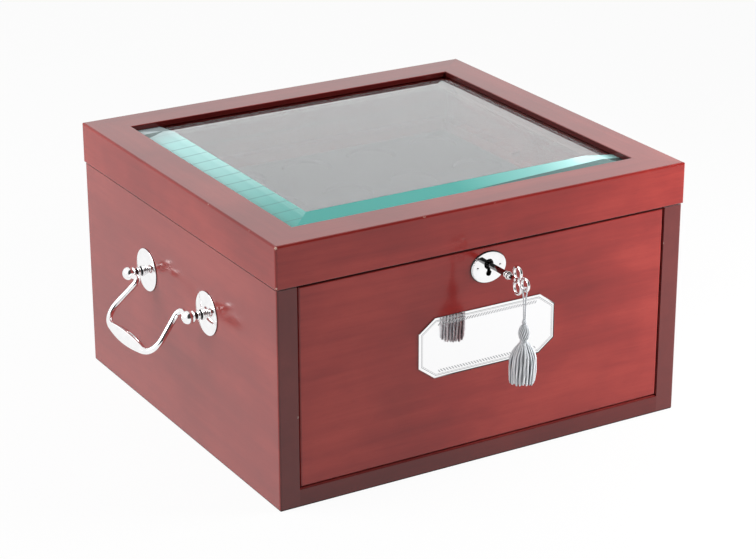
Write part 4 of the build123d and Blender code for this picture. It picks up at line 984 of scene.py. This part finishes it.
class COINCASE_OT_linings(bpy.types.Operator):
    """Make the velvet pad with its coin wells, the drawer's velvet and the felt pads"""

    bl_idname = "coincase.linings"
    bl_label = "Linings"

    def execute(self, context):
        velvet = pile("black_velvet", (0.016, 0.016, 0.020), 0.04)
        felt = pile("black_felt", (0.022, 0.022, 0.025), 0.2)
        self.coin_pad(velvet)
        low, high = corners("drawer_lining")
        Shape().grid(soft_block(low, high, 0.8 * MM)).finish(
            "drawer_velvet", velvet, "drawer", ["drawer_lining"], "velvet"
        )
        low, high = corners("drawer_dividers")
        width = 6.0 * MM
        shape = Shape()
        for left in (low[0], high[0] - width):
            divider = (left, low[1], low[2]), (left + width, high[1], high[2])
            shape.grid(soft_block(*divider, 2.4 * MM, 9))
        shape.finish("velvet_dividers", velvet, "drawer", ["drawer_dividers"], "velvet")
        low, high = corners("felt_base")
        felt_half = np.array([173.6, 159.6]) * MM
        low[:2], high[:2] = -felt_half, felt_half
        Shape().grid(soft_block(low, high, 0.4 * MM)).finish(
            "felt_underside", felt, "case", ["felt_base"], "felt"
        )
        self.dots("lid_bumpers", 2, felt)
        self.dots("drawer_bumpers", 1, felt)
        return {"FINISHED"}

    def dots(self, node, axis_number, material):
        """Round felt pads with a soft rim, one at each end of the node."""
        low, high = corners(node)
        shape = Shape()
        thick = high[axis_number] - low[axis_number]
        axis = np.eye(3)[axis_number] * (1 if axis_number == 2 else -1)
        inset, radius, rim = 4.0 * MM, 3.9 * MM, thick * 0.5
        profile = [[(0, 0), (0, radius)], arc((rim, radius - rim), rim, 90, 0, 6), [(thick, 0)]]
        for x in (low[0] + inset, high[0] - inset):
            base = (low + high) / 2 - axis * thick / 2
            base[0] = x
            shape.grid(turned(np.concatenate(profile), base, axis), capped=False)
        shape.finish(node + "_felt", material, "case", [node], "felt")

    def coin_pad(self, velvet):
        """A pad of cells: each goes from its rectangle to a round well with a rolled rim.

        Along each heading the outermost ring reaches the nearer of the cell's two walls there.
        """
        low, high = corners("coin_pad")
        columns, rows, edge = 5, 4, 28.0 * MM
        well, depth, roll, base_gap = 20.0 * MM, 3.0 * MM, 1.0 * MM, 0.1 * MM
        fillet = 0.4 * MM
        xs = np.linspace(low[0] + edge, high[0] - edge, columns)
        ys = np.linspace(low[1] + edge, high[1] - edge, rows)
        x_walls = np.concatenate([[low[0]], (xs[1:] + xs[:-1]) / 2, [high[0]]])
        y_walls = np.concatenate([[low[1]], (ys[1:] + ys[:-1]) / 2, [high[1]]])
        turn = np.linspace(0, 2 * pi, 96, endpoint=False)
        heading = np.stack([np.cos(turn), np.sin(turn)], -1)
        floor = [(well, fillet - depth), (well - fillet, -depth), (well * 0.5, -depth), (0, -depth)]
        inner = np.concatenate([arc((well + roll, -roll), roll, 90, 180, 7), floor])
        heights = np.concatenate([[0.0], inner[:, 1]])[:, None] + 0 * turn
        shape = Shape()
        for column, x in enumerate(xs):
            for row, y in enumerate(ys):
                before = np.array([x - x_walls[column], y - y_walls[row]])
                after = np.array([x_walls[column + 1] - x, y_walls[row + 1] - y])
                ahead = np.where(heading > 0, after, before)
                reach = np.min(ahead / np.maximum(np.abs(heading), 1e-9), axis=1)
                radii = np.concatenate([reach[None], inner[:, :1] + 0 * turn])
                centre = np.array([x, y, high[2]])
                shape.grid(around(centre, radii, turn, heights), capped=False)
        core_high = high - [0, 0, depth + base_gap]
        shape.grid(soft_block(low, core_high, 0.5 * MM))
        shape.finish("velvet_coin_pad", velvet, "case", ["coin_pad"], "velvet")


class COINCASE_OT_glass(bpy.types.Operator):
    """Give the lid's bevelled glass its finish"""

    bl_idname = "coincase.glass"
    bl_label = "Glass"

    def execute(self, context):
        dressed(["glass_panel"], plate_glass("plate_glass"))
        return {"FINISHED"}


class COINCASE_OT_handles(bpy.types.Operator):
    """Make the rosettes, the ringed posts and the swelling bails of both handles"""

    bl_idname = "coincase.handles"
    bl_label = "Handles"

    def execute(self, context):
        look = context.scene.coin_case_metal
        nickel = polished("polished_nickel")
        wall, half_spacing = 174.0, 50.8
        rosettes, posts = Shape(), Shape()
        for side in (-1, 1):
            for end in (-1, 1):
                foot = np.array([side * wall, end * half_spacing, HANDLE_HEIGHT]) * MM
                rosettes.grid(turned(self.rosette(look), foot, side * X_AXIS, 96), capped=False)
                posts.grid(turned(self.post(), foot, side * X_AXIS, 72))
        # Painted dark reflection: a thin dark band at each rosette's rim, and dark bands in the
        # posts' two necks.
        plain = polished("rosette_nickel", painted_dark_bands=[(0, 174.1, 0.35, 0.92)])
        ringed = polished("post_nickel", painted_dark_bands=[(0, 179.5, 0.45, 0.92), (0, 183.4, 0.8, 0.92)])
        rosettes.finish("domed_rosettes", plain, "case", ["handle_rosettes"], "polished_nickel")
        posts.finish("ringed_posts", ringed, "case", ["handle_posts"], "polished_nickel", 50)
        for side, body in ((-1, "left_bail"), (1, "right_bail")):
            self.bail(look, side, nickel, body)
        return {"FINISHED"}

    def rosette(self, look):
        """Profile: an upright rim, a rolled edge and a dome, rim + dome * (1 - (r/R)**2)."""
        outer, rim, bore, eye = 16.55, 0.85, 1.9, (3.2, 4.4)
        radius = np.linspace(outer, 4.7, 26)
        dome = rim + look.rosette_dome / MM * (1 - (radius / outer) ** 2)
        edge = arc((0.6, 16.6), 0.25, 90, 0, 5)
        start, end = [(0.0, bore), (0.0, 16.85)], [eye, (eye[0], bore), (0.0, bore)]
        return np.concatenate([start, edge, np.stack([dome, radius], -1), end]) * MM

    def post(self):
        """Profile: a low collar, a longer bead, a neck and a ball."""
        neck, ball = 2.3, 5.35
        stem = [
            bead(4.15, 0.95, 4.35),
            [(5.25, 2.5), (5.75, 2.5)],
            bead(7.3, 1.45, 3.5, 13),
            [(8.9, neck), (9.9, neck)],
        ]
        end = arc((15.0, 0.0), ball, 180 - np.degrees(asin(neck / ball)), 0, 26)
        return np.concatenate([*stem, end]) * MM

    def bail(self, look, side, material, body):
        """Bent wire with a grip: its radius is wire + swell * (1 - (s/31)**2)**1.2.

        s is the length along the wire from the middle of the grip. The half route starts at
        the post, turns down and then runs out along the grip.
        """
        hang, pivot_x, wire, grip_half = radians(43.0), 189.0, 2.3, 31.0
        half_route = [(44.7, 0.0), (34.0, 1.8), (43.4, -39.6)]
        bends = (4.5, 13.0, 13.0, 4.5)
        whole = half_route + [(-y, down) for y, down in half_route[::-1]]
        route = subdivided(rounded_route(whole, bends), 1.5)
        run = run_along(route)
        run = run - run[-1] / 2
        swell = np.clip(1 - (run / grip_half) ** 2, 0, 1) ** 1.2
        radius = wire + look.grip_swell / MM * swell
        first = np.array([(50.0, 0.0, 1.45), (44.8, 0.0, 1.45), (44.75, 0.0, 1.95)])
        last = first[::-1] * (-1, 1, 1)
        table = np.concatenate([first, np.column_stack([route, radius]), last])
        down = np.array([-side * sin(hang), 0.0, cos(hang)])
        pivot = np.array([side * pivot_x, 0.0, HANDLE_HEIGHT])
        path = (pivot + table[:, :1] * Y_AXIS + table[:, 1:2] * down) * MM
        ahead = headings(table[:, :2])
        ahead[:3] = ahead[-3:] = (-1, 0)
        ahead = ahead[:, :1] * Y_AXIS + ahead[:, 1:] * down
        normal = np.cross(Y_AXIS, down)
        turn = np.linspace(0, 2 * pi, 40, endpoint=False)
        thick = table[:, 2:] * MM + 0 * turn
        points = piped(path, thick, turn, normal, np.cross(ahead, normal))
        Shape().grid(points).finish(body + "_wire", material, body, [body], "polished_nickel", 50)


class COINCASE_OT_key(bpy.types.Operator):
    """Make the key: hollow shank, bit, collar and a bow of three rings"""

    bl_idname = "coincase.key"
    bl_label = "Key"

    def execute(self, context):
        # Painted dark reflection: the first band darkens most of the shank, the others the necks by
        # the collar's beads.
        painted_dark_bands = [(172.0, 10.3, 0.75), (184.4, 0.5, 0.92), (187.2, 0.3, 0.92), (190.5, 1.6, 0.92)]
        nickel = polished("key_nickel", 0.06, [(1, *painted_dark_band) for painted_dark_band in painted_dark_bands])
        axis = Z_AXIS * KEY_HEIGHT
        pair_y, end_y, lobe_rise = -197.8, -207.4, 5.7
        shank = [
            [(160.0, 0.0), (160.0, 1.12), (148.7, 1.12), (148.55, 1.4), (148.6, 1.9)],
            [(149.0, 2.08), (182.6, 2.08)],
            bead(183.2, 0.5, 2.55, 7),
            [(183.9, 2.0), (184.9, 2.0)],
            bead(186.0, 0.95, 3.08, 9),
            [(187.3, 2.1)],
            bead(187.8, 0.45, 2.5, 7),
            [(188.6, 1.7), (191.5, 1.35), (195.2, 1.55), (195.4, 0.0)],
        ]
        shape = Shape()
        shape.grid(turned(np.concatenate(shank) * MM, axis * MM, -Y_AXIS, 48), capped=False)
        for y, z in ((pair_y, lobe_rise), (pair_y, -lobe_rise), (end_y, 0.0)):
            shape.grid(self.ring(np.array([0.0, y, KEY_HEIGHT + z])), capped=False)
        hub = arc((0.0, 0.0), 2.5, 180, 0, 15) * (0.48, 1)
        middle = np.array([0, pair_y, KEY_HEIGHT])
        shape.grid(turned(hub * MM, middle * MM, X_AXIS, 32), capped=False)
        # The bit, notched in the middle of its edge
        front, back, notch, edge, bottom = 151.9, 148.5, (149.7, 150.7), -7.4, -4.6
        outline = [(back, 0), (back, edge), (notch[0], edge), (notch[0], bottom)]
        outline += [(notch[1], bottom), (notch[1], edge), (front, edge), (front, 0)]
        bevels = [(0.1, -0.9), (0.0, -0.8), (0.0, 0.8), (0.1, 0.9)]
        bit = banded(np.array(outline[::-1]), bevels)
        shape.grid(stood(bit * MM, axis * MM, -Y_AXIS, Z_AXIS, X_AXIS))
        shape.finish("bow_key", nickel, "key", ["key"], "polished_nickel", 40)
        return {"FINISHED"}

    def ring(self, centre):
        """A ring of round wire: centre + (R + r*cos(b)) * (cos a, sin a) and r*sin(b)."""
        ring_radius, wire = 4.3, 1.18
        a = np.linspace(0, 2 * pi, 73)[:, None]
        b = np.linspace(0, 2 * pi, 24, endpoint=False)[None]
        reach = ring_radius + wire * np.cos(b)
        points = np.stack([wire * np.sin(b) + 0 * a, reach * np.cos(a), reach * np.sin(a)], -1)
        return (centre + points) * MM


class COINCASE_OT_plates(bpy.types.Operator):
    """Make the oval escutcheon with its keyhole and pins, and finish the name plate"""

    bl_idname = "coincase.plates"
    bl_label = "Front plates"

    def execute(self, context):
        # Painted dark reflection: a dark band at the escutcheon's rim, next to the drawer front.
        nickel = polished("plate_nickel", 0.04, [(1, 159.7, 0.5, 0.92)])
        self.escutcheon(nickel)
        self.pins(nickel)
        dressed(["name_plate"], self.engraved())
        return {"FINISHED"}

    def escutcheon(self, material):
        """Rays from the keyhole's neck: each grid line runs from the keyhole out to the oval.

        A step is (part of the way from the keyhole to the oval, inset, height).
        """
        eye, drop, half_width, half_height = np.array([0.0, -4.3]), -2.2, 15.3, 12.3
        turn = np.linspace(0, 2 * pi, 240, endpoint=False)
        ray = np.stack([np.cos(turn), np.sin(turn)], -1)

        def circle(z, radius):
            """How far each ray runs inside a circle round (0, z)."""
            to_centre = np.array([0.0, z]) - eye
            along = ray @ to_centre
            inside = along**2 - to_centre @ to_centre + radius**2
            return np.where(inside > 0, along + np.sqrt(np.clip(inside, 0, None)), 0)

        neck_half, neck_rise = 1.3, 0.65
        neck = neck_half / np.maximum(np.abs(ray[:, 0]), 1e-9)
        neck = np.where(np.abs(neck * ray[:, 1]) < neck_rise, neck, neck_half)
        hole = np.max([circle(0.0, 3.9), circle(-6.7, 2.2), neck], axis=0)
        squash = np.array([1 / half_width, 1 / half_height])
        start = (eye - np.array([0.0, drop])) * squash
        head = ray * squash
        a, b, c = np.sum(head**2, axis=1), head @ start, start @ start - 1
        oval = (-b + np.sqrt(b**2 - a * c)) / a
        steps = [(0.0, 0.0, 0.0), (0.0, 0.0, 0.75), (0.0, 0.25, 1.0), (0.3, 0.0, 1.0)]
        steps += [(0.7, 0.0, 1.0), (1.0, -0.9, 1.0), (1.0, -0.45, 0.85), (1.0, -0.12, 0.5)]
        steps += [(1.0, 0.0, 0.2), (1.0, 0.0, 0.0)]
        reach = np.array([hole + (oval - hole) * part + inset for part, inset, _ in steps])
        flat = eye + reach[..., None] * ray
        height = np.array([rise for _, _, rise in steps])[:, None, None] + 0 * flat[..., :1]
        points = np.concatenate([flat, height], -1)
        points = np.concatenate([points, points[:1]])
        keyhole = np.array([0, FRONT_FACE, KEY_HEIGHT]) * MM
        Shape().grid(stood(points * MM, keyhole, X_AXIS, Z_AXIS, -Y_AXIS), capped=False).finish(
            "oval_escutcheon", material, "drawer", ["escutcheon"], "polished_nickel"
        )

    def pins(self, material):
        """Two small domed pins."""
        shape = Shape()
        half_spacing, height, tip, shank, head = 9.6, 153.4, -5.0, 0.75, 1.2
        dome = arc((1.0, 0.0), head, 90, 0, 9) * (0.55, 1) + (0.45, 0)
        stem = [(tip, 0), (tip, shank), (0.9, shank), (0.9, head)]
        profile = np.concatenate([stem, dome]) * MM
        for x in (-half_spacing, half_spacing):
            origin = np.array([x, FRONT_FACE, height]) * MM
            shape.grid(turned(profile, origin, -Y_AXIS, 32), capped=False)
        shape.finish(
            "oval_escutcheon_pins", material, "drawer", ["escutcheon_pins"], "polished_nickel"
        )

    def engraved(self):
        """Polished plate with an engraved border: lines along the octagon, a rope above and below.

        The inset from the octagon's edge is the least of the distances to its three kinds of
        side. The rim is painted dark along the right and lower sides, as a painted reflection of
        the dark room.
        """
        look = bpy.context.scene.coin_case_metal
        finish = Finish("engraved_nickel", Metallic=1.0)
        low, high = corners("name_plate")
        half_x, half_z = (high[0] - low[0]) / 2 / MM, (high[2] - low[2]) / 2 / MM
        middle = (low[2] + high[2]) / 2
        place = finish.place()
        x, z = place.part(0) / MM, (place.part(2) - middle) / MM
        x_abs, z_abs = abs(x), abs(z)
        cut_x, cut_z = 13.5, 10.0
        slope = sqrt(cut_x**2 + cut_z**2)
        reach = (half_x * cut_z + (half_z - cut_z) * cut_x) / slope
        corner = reach - (x_abs * (cut_z / slope) + z_abs * (cut_x / slope))
        inset = (half_x - x_abs).smaller(half_z - z_abs).smaller(corner)
        lines = inset.band(2.2, 0.14, 0.08) + inset.band(3.1, 0.08, 0.06)
        rope_line, rope_half = 5.4, 1.1
        strip = (half_z - z_abs).band(rope_line, rope_half, 0.1) * (1 - x_abs.step(42.0, 43.0))
        sway = (half_z - z_abs - rope_line) * 0.9
        rope = strip * (x + sway).math("PINGPONG", 1.2).step(0.55, 0.75)
        marks = (lines + rope * 0.8).smaller(1.0)
        # Painted reflection: the rim is darkened along the right and lower sides.
        painted_reflection_side = (x / half_x - z / half_z).step(0.1, 0.5)
        rim = (1 - inset.step(0.9, 1.1)) * painted_reflection_side
        metal = (marks * 0.85).mix(look.nickel, (0.20, 0.21, 0.23))
        finish.set(
            Base_Color=(rim * 0.95).mix(metal, look.painted_dark_reflection),
            Roughness=place.noise(140.0, 3.0) * 0.03 + 0.03 + marks * 0.35,
            Normal=(1 - marks).bump(0.4, 0.0001),
        )
        return finish.material


class COINCASE_OT_lock(bpy.types.Operator):
    """Brush the lock's steel and make its slotted screws"""

    bl_idname = "coincase.lock"
    bl_label = "Lock"

    def execute(self, context):
        steel = brushed("brushed_steel", 0)
        dressed(["lock_case", "lock_cover", "lock_selvedge", "lock_drill_pin"], steel)
        dressed(["lock_bolt", "strike_plate"], steel)
        for node, body, axis in (
            ("lock_screws", "drawer", Y_AXIS),
            ("drawer_front_screws", "drawer", Y_AXIS),
            ("strike_screws", "lid", -Z_AXIS),
        ):
            slotted_screws(node, body, axis, "lock_steel", steel)
        return {"FINISHED"}


class COINCASE_OT_hinges(bpy.types.Operator):
    """Finish the lid's hinges, their pins and their screws"""

    bl_idname = "coincase.hinges"
    bl_label = "Hinges"

    def execute(self, context):
        nickel = polished("hinge_nickel", 0.10)
        dressed(["hinge_leaves_case", "hinge_leaves_lid", "hinge_pins", "handle_screws"], nickel)
        axis, centres = np.array([0, 163.9, 170.0]) * MM, (-105.0, 105.0)
        leaf_half, gap, bore, outer, chamfer = 20.0, 0.15, 1.35, 2.6, 0.2
        knuckle = 2 * leaf_half / 3
        for node, body, numbers in (
            ("hinge_leaves_case", "case", (0, 2)),
            ("hinge_leaves_lid", "lid", (1,)),
        ):
            shape = Shape()
            for start in [c - leaf_half + n * knuckle + gap for c in centres for n in numbers]:
                end = start + knuckle - 2 * gap
                profile = [(start, bore), (start, outer - chamfer), (start + chamfer, outer)]
                profile += [(end - chamfer, outer), (end, outer - chamfer), (end, bore)]
                profile = np.array([*profile, profile[0]]) * MM
                shape.grid(turned(profile, axis, X_AXIS, 40), capped=False)
            shape.finish(node.replace("leaves", "knuckles"), nickel, body, (), "polished_nickel")
        slotted_screws("hinge_screws_case", "case", Z_AXIS, "polished_nickel", nickel)
        slotted_screws("hinge_screws_lid", "lid", -Z_AXIS, "polished_nickel", nickel)
        return {"FINISHED"}


def screw_places(node, axis):
    """The centre of each screw in a node, at the face of its head, read from its mesh.

    Points of the heads' faces fall in cells, and the points near one cell are one screw's.
    """
    cell_size, near_enough, same_screw = 6.0 * MM, 4.2 * MM, 2.0 * MM
    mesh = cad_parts[node].data
    points = np.empty(len(mesh.vertices) * 3)
    mesh.vertices.foreach_get("co", points)
    points = points.reshape(-1, 3)
    heads = points[points @ axis > (points @ axis).max() - 1e-5]
    flat = heads[:, [number for number in range(3) if abs(axis[number]) < 0.5]]
    places = []
    for cell in np.unique(np.round(flat / cell_size), axis=0):
        near = heads[np.all(np.abs(flat - cell * cell_size) < near_enough, axis=1)]
        middle = (near.min(0) + near.max(0)) / 2
        if all(np.linalg.norm(middle - other) > same_screw for other in places):
            places.append(middle)
    return places


def slotted_screws(node, body, axis, slot, material):
    """Countersunk screws: a cone, and two half heads that leave the slot between them."""
    shank, head, slot_half, slot_depth = 1.0, 2.0, 0.22, 0.45
    low, high = corners(node)
    reach = float((high - low) @ np.abs(axis)) / MM
    across = np.cross(axis, Z_AXIS if abs(axis[2]) < 0.9 else X_AXIS)
    neck = head - slot_depth
    cone = [(-reach, 0), (-reach, shank), (shank - head, shank), (-slot_depth, neck)]
    cone = np.array([*cone, (-slot_depth, 0)]) * MM
    half_turn = np.arccos(slot_half / head)
    turn = np.linspace(half_turn, -half_turn, 17)
    half_head = head * np.stack([np.sin(turn), np.cos(turn)], -1)
    steps = [(slot_depth, -slot_depth), (0.08, -0.08), (0.14, 0.0)]
    shape = Shape()
    for place in screw_places(node, axis):
        shape.grid(turned(cone, place, axis, 32), capped=False)
        for sign in (-1, 1):
            half = banded(half_head, steps) * (1, sign, 1)
            shape.grid(stood(half * MM, place, across, np.cross(axis, across), axis))
    shape.finish(node + "_slotted", material, body, [node], slot)


# ------------------------------------------------------------------ panel and registration
STEPS = (
    COINCASE_OT_stage,
    COINCASE_OT_tassel,
    COINCASE_OT_timber,
    COINCASE_OT_linings,
    COINCASE_OT_glass,
    COINCASE_OT_handles,
    COINCASE_OT_key,
    COINCASE_OT_plates,
    COINCASE_OT_lock,
    COINCASE_OT_hinges,
)
SETTINGS = {
    "coin_case_timber": CoinCaseTimber,
    "coin_case_metal": CoinCaseMetal,
    "coin_case_tassel": CoinCaseTassel,
    "coin_case_glass": CoinCaseGlass,
    "coin_case_studio": CoinCaseStudio,
}


class COINCASE_PT_panel(bpy.types.Panel):
    """The coin case's steps and settings"""

    bl_label = "Coin Case"
    bl_idname = "COINCASE_PT_panel"
    bl_space_type = "VIEW_3D"
    bl_region_type = "UI"
    bl_category = "Coin Case"

    def draw(self, context):
        for step in STEPS:
            self.layout.operator(step.bl_idname)
        for name, group in SETTINGS.items():
            box = self.layout.box()
            for setting in group.__annotations__:
                box.prop(getattr(context.scene, name), setting)


def register():
    """Register the settings, the operators and the panel."""
    for name, group in SETTINGS.items():
        bpy.utils.register_class(group)
        setattr(bpy.types.Scene, name, bpy.props.PointerProperty(type=group))
    for step in (*STEPS, COINCASE_PT_panel):
        bpy.utils.register_class(step)


def unregister():
    """Take back what register did."""
    for step in (COINCASE_PT_panel, *reversed(STEPS)):
        bpy.utils.unregister_class(step)
    for name, group in reversed(SETTINGS.items()):
        delattr(bpy.types.Scene, name)
        bpy.utils.unregister_class(group)


def main():
    """Run every step in order."""
    register()
    for step in STEPS:
        group, name = step.bl_idname.split(".")
        getattr(getattr(bpy.ops, group), name)()


if __name__ == "__main__":
    main()
